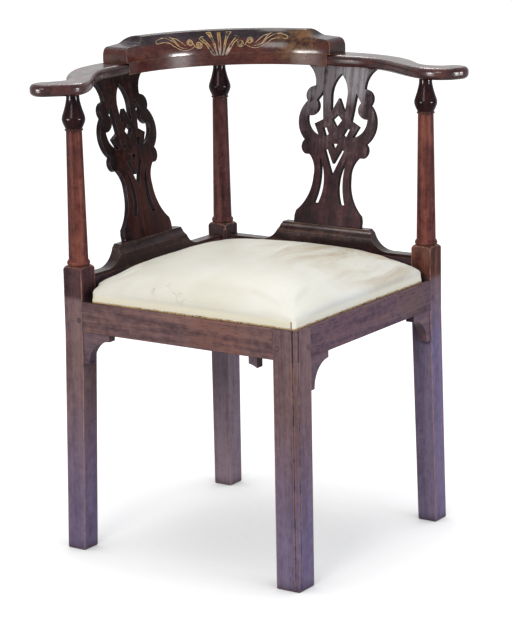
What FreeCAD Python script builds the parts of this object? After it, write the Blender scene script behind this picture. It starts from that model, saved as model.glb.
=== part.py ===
import FreeCAD, Part
import math
import os

from FreeCAD import Vector

# A corner chair: a square seat turned on its corner, three turned posts that carry a
# horseshoe arm bow, two pierced splats, and a drop-in upholstered seat.
# All sizes are in millimetres. The plan is drawn in seat axes: v runs from the front
# corner along the front right rail, u runs from it along the front left rail.

# Seat square, legs and posts
seat_square = 457.0
post_square = 37.0
post_foot_square = 35.0
front_leg_square = 43.5
side_leg_splay = 8.0
foot_chamfer = 1.5
corner_bead = 6.0
bead_groove_width = 1.6
bead_groove_depth = 2.0
bead_radius = 2.8
rear_arris_chamfer = 6.0
rear_chamfer_length = 34.0

# Seat rails and their joints
rail_top = 430.0
rail_depth = 51.0
front_rail_thickness = 28.0
lip_width = 6.0
rebate_depth = 12.0
back_rail_rise = 32.0
back_rail_upper_thickness = 26.0
rail_edge_radius = 1.5
tenon_thickness = 10.0
tenon_setback = 8.0
tenon_end_wall = 1.0
tenon_shoulder = 7.0
mortise_clearance = 0.1
peg_radius = 3.5
peg_from_shoulder = 8.0
peg_length = 22.0
peg_proud = 0.3

# Turned posts: rises above the back rails, drops below the arms, and radii
shoulder_rise = 25.0
shoulder_round = 9.0
ring_height = 9.0
ring_radius = 19.2
ring_quirk = 0.8
column_foot_radius = 16.4
column_head_radius = 13.3
column_head_drop = 59.5
collar_radius = 14.6
collar_height = 3.5
vase_foot_radius = 13.6
vase_radius = 19.5
vase_drop = 40.5
neck_radius = 11.0
arm_underside = 771.5
post_tenon_radius = 8.0
post_tenon_length = 14.0
tenon_hole_clearance = 0.1

# Arm bow: an arc at the back that stands off the posts, then a hand-drawn sweep
arm_thickness = 20.0
bow_inside_side_posts = 57.0
bow_behind_rear_post = 8.4
bow_width = 54.0
butt_angle = 46.3
arm_edge_radius = 8.0
arm_waist_sweep = 3.5
arm_paddle_sweep = 9.0
arm_paddle_width = 50.0
arm_tip_overhang = 69.0
arm_tongue_length = 24.0
arm_tongue_width = 26.0
arm_tongue_thickness = 8.0

# Crest rail over the back of the bow: rises above the arms, and its section
crest_band_rise = 0.5
crest_shoulder_rise = 27.0
crest_rise = 42.0
crest_lip = 1.0
crest_shoulder_setback = 6.0
crest_top_setback = 12.0
crest_top_thickness = 34.0
crest_top_fall = 8.0
crest_top_camber = 1.0
crest_front_arris = 1.5
crest_overhang = 6.5
crest_back_setback = 3.5
crest_back_round = 9.0
crest_back_swell = 2.0
crest_moulding_height = 26.0
crest_moulding_face = 12.0
crest_step_from_end = 38.0
crest_screw_length = 34.0
crest_screw_radius = 2.2
crest_screw_head_radius = 4.4
crest_screw_head_depth = 3.0
crest_screw_from_butt = 12.0
crest_screw_offsets = (19.0, 35.0)

# Splats and the shoes that hold them
splat_off_middle = 8.5
splat_front_setback = 10.0
splat_head_setback = 5.0
splat_half_width = 68.0
splat_thickness = 8.7
splat_tenon_depth = 9.0
splat_tenon_shoulder = 16.0
shoe_rise = 40.0
shoe_half_length = 87.0
shoe_sweep = 48.0
shoe_shoulder_drop = 6.0
shoe_thickness = 20.0
shoe_tail_thickness = 5.5
shoe_cove_depth = 6.0
shoe_cove_height = 13.0
shoe_fillet_height = 2.0
shoe_nail_radius = 1.3
shoe_nail_length = 60.0
shoe_nail_from_end = 12.0

# Brackets under the front rails
bracket_length = 53.0
bracket_drop = 54.0
bracket_step = 11.0
bracket_thickness = 16.0
bracket_setback = 1.0
bracket_lap = 4.0
bracket_toe = 1.0
bracket_stub_start = 31.0
bracket_stub_end = 47.0
bracket_nail_radius = 0.9
bracket_nail_length = 24.0
bracket_nail_from_end = 10.0

# Glue blocks inside the seat rails
glue_block_leg = 48.0
glue_block_height = 30.0
glue_block_below_ledge = 1.5
glue_block_nail_radius = 1.3
glue_block_nail_length = 30.0

# Drop-in seat
seat_clearance = 0.6
seat_back_clearance = 2.5
seat_rest_gap = 0.3
seat_notch_clearance = 13.0
cover_thickness = 1.6
cover_side_draw = 1.5
cover_turn_under = 34.0
cover_edge_rise = 16.5
seat_crown = 38.0
crown_shoulder = 26.0
crown_shoulder_share = 0.6
crown_edge_share = 0.04
crown_stations = 11
frame_member_width = 45.0
frame_member_thickness = 20.0
frame_tenon_length = 22.0
frame_tenon_thickness = 8.0
frame_tenon_shoulder = 8.0
frame_slack = 0.2
webbing_width = 50.0
webbing_thickness = 1.2
webbing_lap = 24.0
webbing_count = 3
hessian_thickness = 0.8
tack_head_radius = 3.2
tack_head_thickness = 0.8
tack_shank_radius = 0.9
tack_shank_length = 10.0
cover_tack_inset = 30.0
cover_tacks_per_side = 7
webbing_tacks_per_end = 3

# How far a cutting shape passes the faces that it cuts, and how near counts as the same
overrun = 2.0
near_enough = 0.01

# Heights that follow from the driving sizes
rail_bottom = rail_top - rail_depth
ledge_height = rail_top - rebate_depth
back_rail_top = rail_top + back_rail_rise
shoulder_height = back_rail_top + shoulder_rise
shoe_top_height = back_rail_top + shoe_rise
column_head_height = arm_underside - column_head_drop
vase_height = arm_underside - vase_drop
arm_top = arm_underside + arm_thickness
crest_band_height = arm_top + crest_band_rise
crest_shoulder_height = arm_top + crest_shoulder_rise
crest_top_height = arm_top + crest_rise
cover_edge_height = rail_top + cover_edge_rise
tall = 2 * crest_top_height

# Plan values that follow from them
inner_face = seat_square - post_square
post_centre = seat_square - post_square / 2
half_diagonal = math.sqrt(0.5)
side_post_out = (post_centre - post_square / 2) * half_diagonal
side_post_back = (post_centre + post_square / 2) * half_diagonal
rear_post_from_front = 2 * post_centre * half_diagonal
bow_inner_radius = side_post_out - bow_inside_side_posts
bow_middle_radius = bow_inner_radius + bow_width / 2
bow_outer_radius = bow_inner_radius + bow_width
bow_centre_from_front = rear_post_from_front + bow_behind_rear_post - bow_middle_radius
front_arris_loss = bead_radius * (math.sqrt(2) - 1)
plan_middle = (front_arris_loss + bow_centre_from_front + bow_outer_radius) / 2
back_rail_inner = seat_square - back_rail_upper_thickness
splat_centre = seat_square / 2 - splat_off_middle
splat_tenon_half_width = splat_half_width - splat_tenon_shoulder


def seat_box(v0, v1, u0, u1, z0, z1):
    """A box between two corners given in seat axes."""
    return Part.makeBox(v1 - v0, u1 - u0, z1 - z0, Vector(v0, u0, z0))


def place(shape):
    """Turn a shape from seat axes into the part's frame, front corner forward."""
    placed = shape.copy()
    placed.rotate(Vector(0, 0, 0), Vector(0, 0, 1), 45)
    return shift_back(placed)


def shift_back(shape):
    """Move a shape drawn from the front corner so that the origin is mid depth."""
    moved = shape.copy()
    moved.translate(Vector(0, -plan_middle, 0))
    return moved


def mirrored(shape):
    """The left-hand twin of a right-hand piece."""
    return shape.mirror(Vector(0, 0, 0), Vector(1, 0, 0))


def prism(points, height):
    """Extrude a flat polygon straight up."""
    return Part.Face(Part.makePolygon(points + [points[0]])).extrude(Vector(0, 0, height))


def arc(start, through, end):
    return Part.Arc(start, through, end).toShape()


def line(start, end):
    return Part.makeLine(start, end)


def closed_face(edges):
    """A flat face inside a loop of edges given in any order."""
    return Part.Face(Part.Wire(Part.sortEdges(edges)[0]))


def solid_of(shape):
    """The one solid left by a cut or a join, with merged faces."""
    cleaned = shape.removeSplitter()
    return max(cleaned.Solids, key=lambda one: one.Volume)


def save(node, shape):
    shape.exportStep("parts/" + node + ".step")


# Rails

def tenon_length(square):
    """As long as the crossing tenon of the other rail allows."""
    return square - tenon_setback - tenon_thickness - tenon_end_wall


def front_rail_tenons(clearance):
    """Both tenons of the front right rail; with a clearance they cut the mortises."""
    low = rail_bottom + tenon_shoulder - clearance
    high = ledge_height - tenon_shoulder / 2 + clearance
    near = tenon_setback - clearance
    far = tenon_setback + tenon_thickness + clearance
    front_end = front_leg_square - tenon_length(front_leg_square) - clearance
    back_end = inner_face + tenon_length(post_square) + clearance
    front = seat_box(front_end, front_leg_square, near, far, low, high)
    back = seat_box(inner_face, back_end, near, far, low, high)
    return [front, back]


def back_rail_tenons(clearance):
    """Both tenons of the back right rail."""
    low = rail_bottom + tenon_shoulder - clearance
    high = back_rail_top - tenon_shoulder + clearance
    near = seat_square - tenon_setback - tenon_thickness - clearance
    far = seat_square - tenon_setback + clearance
    side_end = post_square - tenon_length(post_square) - clearance
    rear_end = inner_face + tenon_length(post_square) + clearance
    side = seat_box(near, far, side_end, post_square, low, high)
    rear = seat_box(near, far, inner_face, rear_end, low, high)
    return [side, rear]


def front_rail():
    bar = seat_box(front_leg_square, inner_face, 0, front_rail_thickness, rail_bottom, rail_top)
    edge = [one for one in bar.Edges
            if abs(one.BoundBox.YMax) < near_enough and one.BoundBox.ZLength < near_enough]
    bar = bar.makeFillet(rail_edge_radius, edge)
    rebate = seat_box(0, seat_square, lip_width, front_rail_thickness, ledge_height, tall)
    return bar.cut(rebate).fuse(front_rail_tenons(0)).removeSplitter()


def back_rail():
    lower = seat_box(inner_face, seat_square, post_square, inner_face, rail_bottom, ledge_height)
    upper = seat_box(back_rail_inner, seat_square, post_square, inner_face,
                     ledge_height, back_rail_top)
    return lower.fuse([upper] + back_rail_tenons(0)).removeSplitter()


# Pegs

def pegs():
    """The pegs of the four joints on the right-hand side."""
    front_height = (rail_bottom + ledge_height) / 2
    back_height = (rail_bottom + back_rail_top) / 2
    inward_u = Vector(0, 1, 0)
    inward_v = Vector(-1, 0, 0)
    into_leg = Vector(front_leg_square - peg_from_shoulder, -peg_proud, front_height)
    into_post = Vector(inner_face + peg_from_shoulder, -peg_proud, front_height)
    side = Vector(seat_square + peg_proud, post_square - peg_from_shoulder, back_height)
    rear = Vector(seat_square + peg_proud, inner_face + peg_from_shoulder, back_height)
    drawn = [Part.makeCylinder(peg_radius, peg_length, into_leg, inward_u),
             Part.makeCylinder(peg_radius, peg_length, into_post, inward_u),
             Part.makeCylinder(peg_radius, peg_length, side, inward_v),
             Part.makeCylinder(peg_radius, peg_length, rear, inward_v)]
    return drawn


# Legs and posts

def square_wire(square, corner_v, corner_u, shift, height, inset):
    v0 = corner_v + shift.x + inset
    u0 = corner_u + shift.y + inset
    v1 = corner_v + shift.x + square - inset
    u1 = corner_u + shift.y + square - inset
    return Part.makePolygon([Vector(v0, u0, height), Vector(v1, u0, height),
                             Vector(v1, u1, height), Vector(v0, u1, height),
                             Vector(v0, u0, height)])


def leg(square, foot, outer_v, outer_u, top, splay):
    """A square leg drawn from its outer corner; its foot is narrower and stands out."""
    corner_v = max(0, outer_v - square)
    corner_u = max(0, outer_u - square)
    foot_v = max(0, outer_v - foot)
    foot_u = max(0, outer_u - foot)
    sole = square_wire(foot, foot_v, foot_u, splay, 0, foot_chamfer)
    ankle = square_wire(foot, foot_v, foot_u, splay, foot_chamfer, 0)
    knee = square_wire(square, corner_v, corner_u, Vector(0, 0, 0), rail_bottom, 0)
    upper = seat_box(corner_v, corner_v + square, corner_u, corner_u + square, rail_bottom, top)
    return Part.makeLoft([sole, ankle], True, True).fuse(
        [Part.makeLoft([ankle, knee], True, True), upper])


def front_leg():
    shape = leg(front_leg_square, front_leg_square, 0, 0, rail_top, Vector(0, 0, 0)).removeSplitter()
    arris = [one for one in shape.Edges
             if one.BoundBox.XMax < near_enough and one.BoundBox.YMax < near_enough]
    shape = shape.makeFillet(bead_radius, arris)
    groove_end = corner_bead + bead_groove_width
    for swap in (False, True):
        groove = seat_box(corner_bead, groove_end, -overrun, bead_groove_depth, -overrun, tall)
        if swap:
            groove = seat_box(-overrun, bead_groove_depth, corner_bead, groove_end,
                              -overrun, tall)
        shape = shape.cut(groove)
    rebate = seat_box(lip_width, front_leg_square, lip_width, front_leg_square,
                      ledge_height, tall)
    return shape.cut(rebate)


def pommel():
    """The revolved shape that rounds the top of a square post into its turning."""
    reach = post_square
    corner = post_square * half_diagonal
    low = shoulder_height - shoulder_round
    top = Vector(0, 0, shoulder_height)
    rim = Vector(column_foot_radius + ring_quirk, 0, shoulder_height)
    side = Vector(corner + ring_quirk, 0, low)
    bend = Vector(corner - ring_quirk, 0, shoulder_height - shoulder_round / 3)
    out = Vector(reach, 0, low)
    out_low = Vector(reach, 0, -overrun)
    floor = Vector(0, 0, -overrun)
    edges = [line(top, rim), arc(rim, bend, side), line(side, out), line(out, out_low),
             line(out_low, floor), line(floor, top)]
    return closed_face(edges).revolve(Vector(0, 0, 0), Vector(0, 0, 1), 360)


def turning():
    """The column, ring, collar and vase of a post, with its round tenon."""
    ring_foot = shoulder_height + ring_quirk
    ring_top = ring_foot + ring_height
    quirk = column_foot_radius + ring_quirk
    collar_top = column_head_height + collar_height
    start = Vector(0, 0, shoulder_height - shoulder_round)
    points = [Vector(quirk, 0, shoulder_height - shoulder_round),
              Vector(quirk, 0, ring_foot)]
    ring = arc(points[-1], Vector(ring_radius, 0, ring_foot + ring_height / 2),
               Vector(quirk, 0, ring_top))
    column = [Vector(quirk, 0, ring_top), Vector(column_foot_radius, 0, ring_top + ring_quirk),
              Vector(column_head_radius, 0, column_head_height),
              Vector(collar_radius, 0, column_head_height + ring_quirk)]
    collar = arc(column[-1], Vector(collar_radius + ring_quirk, 0,
                                    column_head_height + collar_height / 2),
                 Vector(collar_radius, 0, collar_top))
    foot = Vector(vase_foot_radius, 0, collar_top)
    belly = Vector(vase_radius, 0, vase_height)
    neck = Vector(neck_radius, 0, arm_underside)

    def towards(end, share_out, share_up):
        return Vector(end.x + (belly.x - end.x) * share_out, 0,
                      belly.z + (end.z - belly.z) * share_up)

    vase = Part.BSplineCurve()
    vase.interpolate([foot, towards(foot, 0.63, 0.5), belly, towards(neck, 0.69, 0.28),
                      towards(neck, 0.24, 0.6), neck])
    tenon_top = arm_underside + post_tenon_length
    head = [neck, Vector(post_tenon_radius, 0, arm_underside),
            Vector(post_tenon_radius, 0, tenon_top), Vector(0, 0, tenon_top)]
    edges = [line(start, points[0]), line(points[0], points[1]), ring]
    edges += [line(column[i], column[i + 1]) for i in range(len(column) - 1)]
    edges += [collar, line(Vector(collar_radius, 0, collar_top), foot), vase.toShape()]
    edges += [line(head[i], head[i + 1]) for i in range(len(head) - 1)]
    edges.append(line(head[-1], start))
    return closed_face(edges).revolve(Vector(0, 0, 0), Vector(0, 0, 1), 360)


def turned_post(outer_u, splay):
    """A post from foot to tenon, in one piece of wood."""
    square = leg(post_square, post_foot_square, seat_square, outer_u, shoulder_height, splay)
    square = square.removeSplitter()
    centre = Vector(post_centre, max(post_square, outer_u) - post_square / 2, 0)
    upper = pommel()
    upper.translate(centre)
    lower_part = square.common(seat_box(-seat_square, 2 * seat_square, -seat_square,
                                        2 * seat_square, -overrun, rail_bottom))
    upper_part = square.common(seat_box(-seat_square, 2 * seat_square, -seat_square,
                                        2 * seat_square, rail_bottom, tall)).common(upper)
    turned = turning()
    turned.translate(centre)
    return lower_part.fuse([upper_part, turned]).removeSplitter()


def side_post():
    """The right post; its foot stands out to the side."""
    splay = Vector(side_leg_splay * half_diagonal, -side_leg_splay * half_diagonal, 0)
    return turned_post(0, splay)


def rear_post():
    """The rear post, with its front arris chamfered above the rails."""
    shape = turned_post(seat_square, Vector(0, 0, 0))
    high = shoulder_height - shoulder_round
    low = high - rear_chamfer_length
    cut = rear_arris_chamfer
    corner = Vector(inner_face, inner_face, low)
    outside = corner - Vector(overrun, overrun, 0)
    wedge = Part.Face(Part.makePolygon([outside, corner + Vector(cut, -overrun, 0),
                                        corner + Vector(-overrun, cut, 0), outside]))
    return shape.cut(wedge.extrude(Vector(0, 0, rear_chamfer_length)))


# Shoes and splats

def shoe():
    """The right shoe: long low tails, a raised middle and a coved front."""
    base = back_rail_top
    tail = base + shoe_tail_thickness
    left = splat_centre - shoe_half_length
    right = splat_centre + shoe_half_length
    low_shoulder = shoe_top_height - shoe_shoulder_drop
    bend_out = shoe_sweep * 0.36
    bend_height = tail + (shoe_top_height - tail) * 0.3

    def at(u, z):
        return Vector(back_rail_inner, u, z)

    edges = [line(at(post_square, base), at(inner_face, base)),
             line(at(inner_face, base), at(inner_face, tail)),
             line(at(inner_face, tail), at(right + shoe_sweep, tail)),
             arc(at(right + shoe_sweep, tail), at(right + bend_out, bend_height),
                 at(right + shoe_shoulder_drop, low_shoulder)),
             line(at(right + shoe_shoulder_drop, low_shoulder), at(right, shoe_top_height)),
             line(at(right, shoe_top_height), at(left, shoe_top_height)),
             line(at(left, shoe_top_height), at(left - shoe_shoulder_drop, low_shoulder)),
             arc(at(left - shoe_shoulder_drop, low_shoulder), at(left - bend_out, bend_height),
                 at(left - shoe_sweep, tail)),
             line(at(left - shoe_sweep, tail), at(post_square, tail)),
             line(at(post_square, tail), at(post_square, base))]
    blank = closed_face(edges).extrude(Vector(shoe_thickness, 0, 0))
    return blank.cut(shoe_cove())


def shoe_cove():
    """The hollow run along the upper front of the shoe."""
    front = back_rail_inner
    before = front - overrun
    top = shoe_top_height - shoe_fillet_height
    low = top - shoe_cove_height
    deep = front + shoe_cove_depth
    fillet = deep - shoe_fillet_height / 2

    def at(v, z):
        return Vector(v, 0, z)

    edges = [line(at(before, tall), at(before, low)), line(at(before, low), at(front, low)),
             arc(at(front, low), at(front + shoe_cove_depth * 0.72, low + shoe_cove_height * 0.34),
                 at(deep, top)),
             line(at(deep, top), at(fillet, top)), line(at(fillet, top), at(fillet, tall)),
             line(at(fillet, tall), at(before, tall))]
    return closed_face(edges).extrude(Vector(0, seat_square, 0))


# The splat leans back from the shoe until its head is just behind the bow's inner face.
splat_front = back_rail_inner + splat_front_setback
bow_centre_in_seat = bow_centre_from_front * half_diagonal
splat_head_radius = bow_inner_radius + splat_head_setback
splat_head = bow_centre_in_seat + math.sqrt(
    splat_head_radius ** 2 - (splat_centre - bow_centre_in_seat) ** 2)
splat_lean = splat_head - splat_front
splat_rise = arm_underside - shoe_top_height
splat_slant = math.hypot(splat_lean, splat_rise)
splat_up = Vector(splat_lean / splat_slant, 0, splat_rise / splat_slant)
splat_normal = Vector(splat_up.z, 0, -splat_up.x)


# The splat's pattern is drawn on a grid of this half width and height.
pattern_half_width = 68.0
pattern_height = 275.5
pattern_past_ends = 20.0


def on_splat(across, up):
    """A point on the splat's front face, given on the pattern's grid from its foot."""
    foot = Vector(splat_front, splat_centre, shoe_top_height)
    aside = across * splat_half_width / pattern_half_width
    return foot + Vector(0, aside, 0) + splat_up * (up * splat_slant / pattern_height)


def board(edges):
    """A cut of the splat's whole thickness from edges drawn on its front face."""
    return closed_face(edges).extrude(splat_normal * splat_thickness)


def through_cut(edges):
    """The same, longer than the splat is thick, for a piercing."""
    shape = closed_face(edges).extrude(splat_normal * (splat_thickness + 2 * overrun))
    shape.translate(splat_normal * -overrun)
    return shape


def side_path(side, steps):
    """Edges along one side: each step is (across, up) or a pair of them for an arc."""
    edges = []
    here = on_splat(side * steps[0][0], steps[0][1])
    for step in steps[1:]:
        if isinstance(step[0], tuple):
            middle = on_splat(side * step[0][0], step[0][1])
            there = on_splat(side * step[1][0], step[1][1])
            edges.append(arc(here, middle, there))
        else:
            there = on_splat(side * step[0], step[1])
            edges.append(line(here, there))
        here = there
    return edges


def splat_outline():
    """The vase shape: flared head, ears, ring, lobes, waist and spreading foot."""
    wide = pattern_half_width
    low = -pattern_past_ends
    high = pattern_height + pattern_past_ends
    side = [(wide, low), (wide, 12), (65.8, 20.5), ((44.5, 48), (36.8, 84)),
            ((39.2, 105), (49.5, 120.2)), (57.6, 120.1), ((66.5, 129), (62.2, 145.2)),
            ((78.4, 178), (63.7, 213)), ((66.5, 229), (57, 238.8)), (50, 240.8),
            ((53.5, 258.5), (wide, pattern_height)), (wide, high)]
    bottom = line(on_splat(-wide, low), on_splat(wide, low))
    head = line(on_splat(wide, high), on_splat(-wide, high))
    return side_path(1, side) + side_path(-1, side) + [bottom, head]


def closed_pair(steps):
    """A piercing that lies on the centre line, drawn from its right half."""
    return side_path(1, steps) + side_path(-1, steps)


def polygon_on_splat(side, points):
    ends = points[1:] + points[:1]
    return [line(on_splat(side * a[0], a[1]), on_splat(side * b[0], b[1]))
            for a, b in zip(points, ends)]


def piercings():
    """The openings between the interlaced straps."""
    arch = [(0, 264), ((12.5, 247), (16.2, 222)), (14.6, 199), (12.2, 198.4), (0, 221.6)]
    lozenge = [(0, 193.6), (10.2, 183.5), (0, 169.7)]
    drop = [(0, 130), (6, 141.5), (0, 142)]
    chevron = [(0, 85.1), (20.3, 130.5), (13.6, 132.5), (0, 107)]
    cuts = [through_cut(closed_pair(one)) for one in (arch, lozenge, drop, chevron)]
    for side in (1, -1):
        eye = side_path(side, [(34, 233), (38.8, 224.5), (45.3, 215.5),
                               ((40.6, 203), (46.5, 192.5)), ((53, 188.6), (61.5, 188)),
                               ((57, 169.5), (34.4, 154.7)), (45.2, 174.2), (28.3, 183),
                               ((31.4, 208), (34, 233))])
        cuts.append(through_cut(eye))
        slot = polygon_on_splat(side, [(28, 168.3), (20, 169.5), (14, 158), (21, 152.4)])
        cuts.append(through_cut(slot))
        sling = side_path(side, [(29, 119.5), ((15.1, 82), (22.1, 37)), (31.8, 37),
                                 ((23.7, 80), (29, 119.5))])
        cuts.append(through_cut(sling))
    return cuts


def splat():
    """The right splat, cut level at its shoulders and tenoned at both ends."""
    shape = board(splat_outline()).cut(piercings())
    half = splat_tenon_half_width
    far = seat_square
    keep_low = seat_box(0, 2 * far, splat_centre - half, splat_centre + half,
                        shoe_top_height - splat_tenon_depth, shoe_top_height)
    keep_high = seat_box(0, 2 * far, splat_centre - half, splat_centre + half,
                         arm_underside, arm_underside + splat_tenon_depth)
    body = seat_box(0, 2 * far, -far, 2 * far, shoe_top_height, arm_underside)
    return solid_of(shape.common(body.fuse([keep_low, keep_high])))


def splat_tenons():
    """What the splat's two tenons take out of the shoe and of the bow."""
    spread = mortise_clearance
    half = (splat_tenon_half_width + spread) * pattern_half_width / splat_half_width
    low = -pattern_past_ends
    high = pattern_height + pattern_past_ends
    corners = [on_splat(-half, low), on_splat(half, low), on_splat(half, high),
               on_splat(-half, high)]
    slab = Part.Face(Part.makePolygon(corners + [corners[0]])).extrude(
        splat_normal * (splat_thickness + 2 * spread))
    slab.translate(splat_normal * -spread)
    lower = slab.common(seat_box(0, 2 * seat_square, 0, seat_square,
                                 shoe_top_height - splat_tenon_depth - spread, shoe_top_height))
    upper = slab.common(seat_box(0, 2 * seat_square, 0, seat_square, arm_underside,
                                 arm_underside + splat_tenon_depth + spread))
    return lower, upper


def shoe_nails():
    """Two nails through each raised end of the shoe into the rail."""
    offset = shoe_half_length - shoe_nail_from_end
    nails = []
    for side in (-1, 1):
        point = Vector(back_rail_inner + shoe_thickness * 0.7, splat_centre + side * offset,
                       shoe_top_height - shoe_nail_length)
        nails.append(Part.makeCylinder(shoe_nail_radius, shoe_nail_length, point))
    return nails


# Brackets

def bracket(leg_face):
    """A bracket against a leg on the front right rail, drawn from the leg's face."""
    depth0 = bracket_setback
    inner = bracket_length
    radius = bracket_length - bracket_step
    bend = radius * (1 - half_diagonal)

    def at(along, down):
        return Vector(leg_face + along, depth0, rail_bottom - down)

    lap = -bracket_lap
    toe = bracket_drop - bracket_toe
    edges = [line(at(lap, 0), at(inner, 0)), line(at(inner, 0), at(inner, bracket_step)),
             arc(at(inner, bracket_step), at(bracket_step + bend, bracket_step + bend),
                 at(bracket_step, toe)),
             line(at(bracket_step, toe), at(bracket_step, bracket_drop)),
             line(at(bracket_step, bracket_drop), at(lap, bracket_drop)),
             line(at(lap, bracket_drop), at(lap, 0))]
    return closed_face(edges).extrude(Vector(0, bracket_thickness, 0))


def turned_about(shape, along):
    """A copy mirrored so that a bracket on a leg faces the other way along the rail."""
    return shape.mirror(Vector(along, 0, 0), Vector(1, 0, 0))


def bracket_nails(leg_face, direction, only_outer):
    """Nails driven up through a bracket into the rail."""
    stub_middle = (bracket_stub_start + bracket_stub_end) / 2
    offsets = (bracket_length - bracket_nail_from_end, bracket_length / 2)
    if only_outer:
        offsets = (stub_middle,)
    nails = []
    for offset in offsets:
        radius = bracket_length - bracket_step
        from_cove = bracket_length - offset
        curve = bracket_drop - math.sqrt(radius * radius - from_cove * from_cove)
        low = rail_bottom - curve
        foot = Vector(leg_face + direction * offset, bracket_setback + bracket_thickness / 2, low)
        nails.append(Part.makeCylinder(bracket_nail_radius, bracket_nail_length, foot))
    return nails


# Glue blocks

def glue_block(corner, first, second):
    """A three-sided block in an inner corner; first and second are its outer ends."""
    low = ledge_height - glue_block_below_ledge - glue_block_height
    points = [Vector(p[0], p[1], low) for p in (corner + [first, second])]
    return prism(points, glue_block_height)


def glue_blocks():
    """Front, side and rear blocks in seat axes; the side one is the right-hand one."""
    rail = front_rail_thickness
    square = front_leg_square
    reach = glue_block_leg
    front = glue_block([(rail, square), (square, square), (square, rail)],
                       (square + reach, rail), (rail, square + reach))
    side = glue_block([(inner_face, rail), (inner_face, post_square)],
                      (inner_face, post_square + reach), (inner_face - reach, rail))
    rear = glue_block([(inner_face, inner_face)], (inner_face - reach, inner_face),
                      (inner_face, inner_face - reach))
    return front, side, rear


def glue_block_nails():
    """One nail through the long face of each block, aimed at its corner."""
    height = ledge_height - glue_block_below_ledge - glue_block_height / 2
    spots = []
    quarter = glue_block_leg / 2
    rail = front_rail_thickness
    face = (rail + front_leg_square + glue_block_leg) / 2
    spots.append((face, face, -1, -1))
    side_v = inner_face - quarter
    side_u = (rail + post_square + glue_block_leg) / 2
    spots.append((side_v, side_u, 1, -1))
    spots.append((inner_face - quarter, inner_face - quarter, 1, 1))
    nails = []
    for v, u, dv, du in spots:
        way = Vector(dv * half_diagonal, du * half_diagonal, 0)
        nails.append(Part.makeCylinder(glue_block_nail_radius, glue_block_nail_length,
                                       Vector(v, u, height), way))
    return nails


# Arm bow and crest, drawn from the front corner with y to the back

def on_bow(angle, radius, z):
    """A point on the bow, by its angle from straight back and its radius."""
    turn = math.radians(angle)
    return Vector(radius * math.sin(turn), bow_centre_from_front + radius * math.cos(turn), z)


def arm_curves(sweep):
    """The inner and outer edge of an arm as splines, and the point of its tip."""
    waist = sweep * arm_waist_sweep
    paddle = -sweep * arm_paddle_sweep

    def by_bow(angle, widths, aside, ahead):
        """At an angle round the bow, so many bow widths out from its inner face."""
        point = on_bow(angle, bow_inner_radius + widths * bow_width, arm_underside)
        return point + Vector(aside, ahead, 0)

    def on_paddle(out, widths):
        """At a share of the way from the post to the tip, paddle widths behind the post."""
        return Vector(side_post_out + out * arm_tip_overhang,
                      side_post_back + widths * arm_paddle_width + paddle, arm_underside)

    inner = Part.BSplineCurve()
    inner.interpolate([by_bow(butt_angle, 0, 0, 0), by_bow(55.4, 0.035, 0, 0),
                       by_bow(64.4, 0.206, waist / 2, 0), by_bow(72.7, 0.267, waist, 0),
                       by_bow(84.5, 0.328, waist, 0), by_bow(97, 0.631, waist, paddle / 6),
                       by_bow(102.1, 1.085, waist, paddle / 2), on_paddle(0.304, -0.643),
                       on_paddle(0.71, -0.603)])
    outer = Part.BSplineCurve()
    outer.interpolate([on_paddle(0.652, 0.377), on_paddle(0.348, 0.437),
                       by_bow(90.1, 1.167, waist / 3, paddle / 2),
                       by_bow(83.4, 1.13, waist / 2, 0), by_bow(73.1, 1.189, waist / 2, 0),
                       by_bow(63.5, 1.183, 0, 0), by_bow(55.1, 1.109, 0, 0),
                       by_bow(butt_angle, 1, 0, 0)])
    return inner, outer, on_paddle(1, -0.223)


def arm(sweep):
    """A right arm; sweep is 1 where it reaches forward and -1 where it hangs back."""
    inner, outer, tip = arm_curves(sweep)
    inner_edge = inner.toShape()
    outer_edge = outer.toShape()
    inner_end = inner_edge.Vertexes[-1].Point
    outer_start = outer_edge.Vertexes[0].Point
    edges = [inner_edge, arc(inner_end, tip, outer_start), outer_edge,
             line(outer_edge.Vertexes[-1].Point, inner_edge.Vertexes[0].Point)]
    shape = closed_face(edges).extrude(Vector(0, 0, arm_thickness))
    butt_low = on_bow(butt_angle, bow_inner_radius, 0)
    rims = []
    for one in shape.Edges:
        level = one.BoundBox.ZLength < near_enough
        long_run = one.Length > bow_width * 0.9
        middle = one.valueAt((one.FirstParameter + one.LastParameter) / 2)
        at_butt = math.hypot(middle.x - butt_low.x, middle.y - butt_low.y) < bow_width * 0.7
        if level and long_run and not at_butt:
            rims.append(one)
    shape = shape.makeFillet(arm_edge_radius, rims)
    return shape


def arm_tongue(clearance):
    """The tongue that enters the crest rail at the butt joint."""
    mid_height = arm_underside + arm_thickness / 2
    length = arm_tongue_length + clearance
    width = arm_tongue_width + 2 * clearance
    thick = arm_tongue_thickness + 2 * clearance
    block = Part.makeBox(length + 2 * overrun, width, thick,
                         Vector(-length, -width / 2, -thick / 2))
    block.rotate(Vector(0, 0, 0), Vector(0, 0, 1), -butt_angle)
    block.translate(on_bow(butt_angle, bow_middle_radius, mid_height))
    return block


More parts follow.
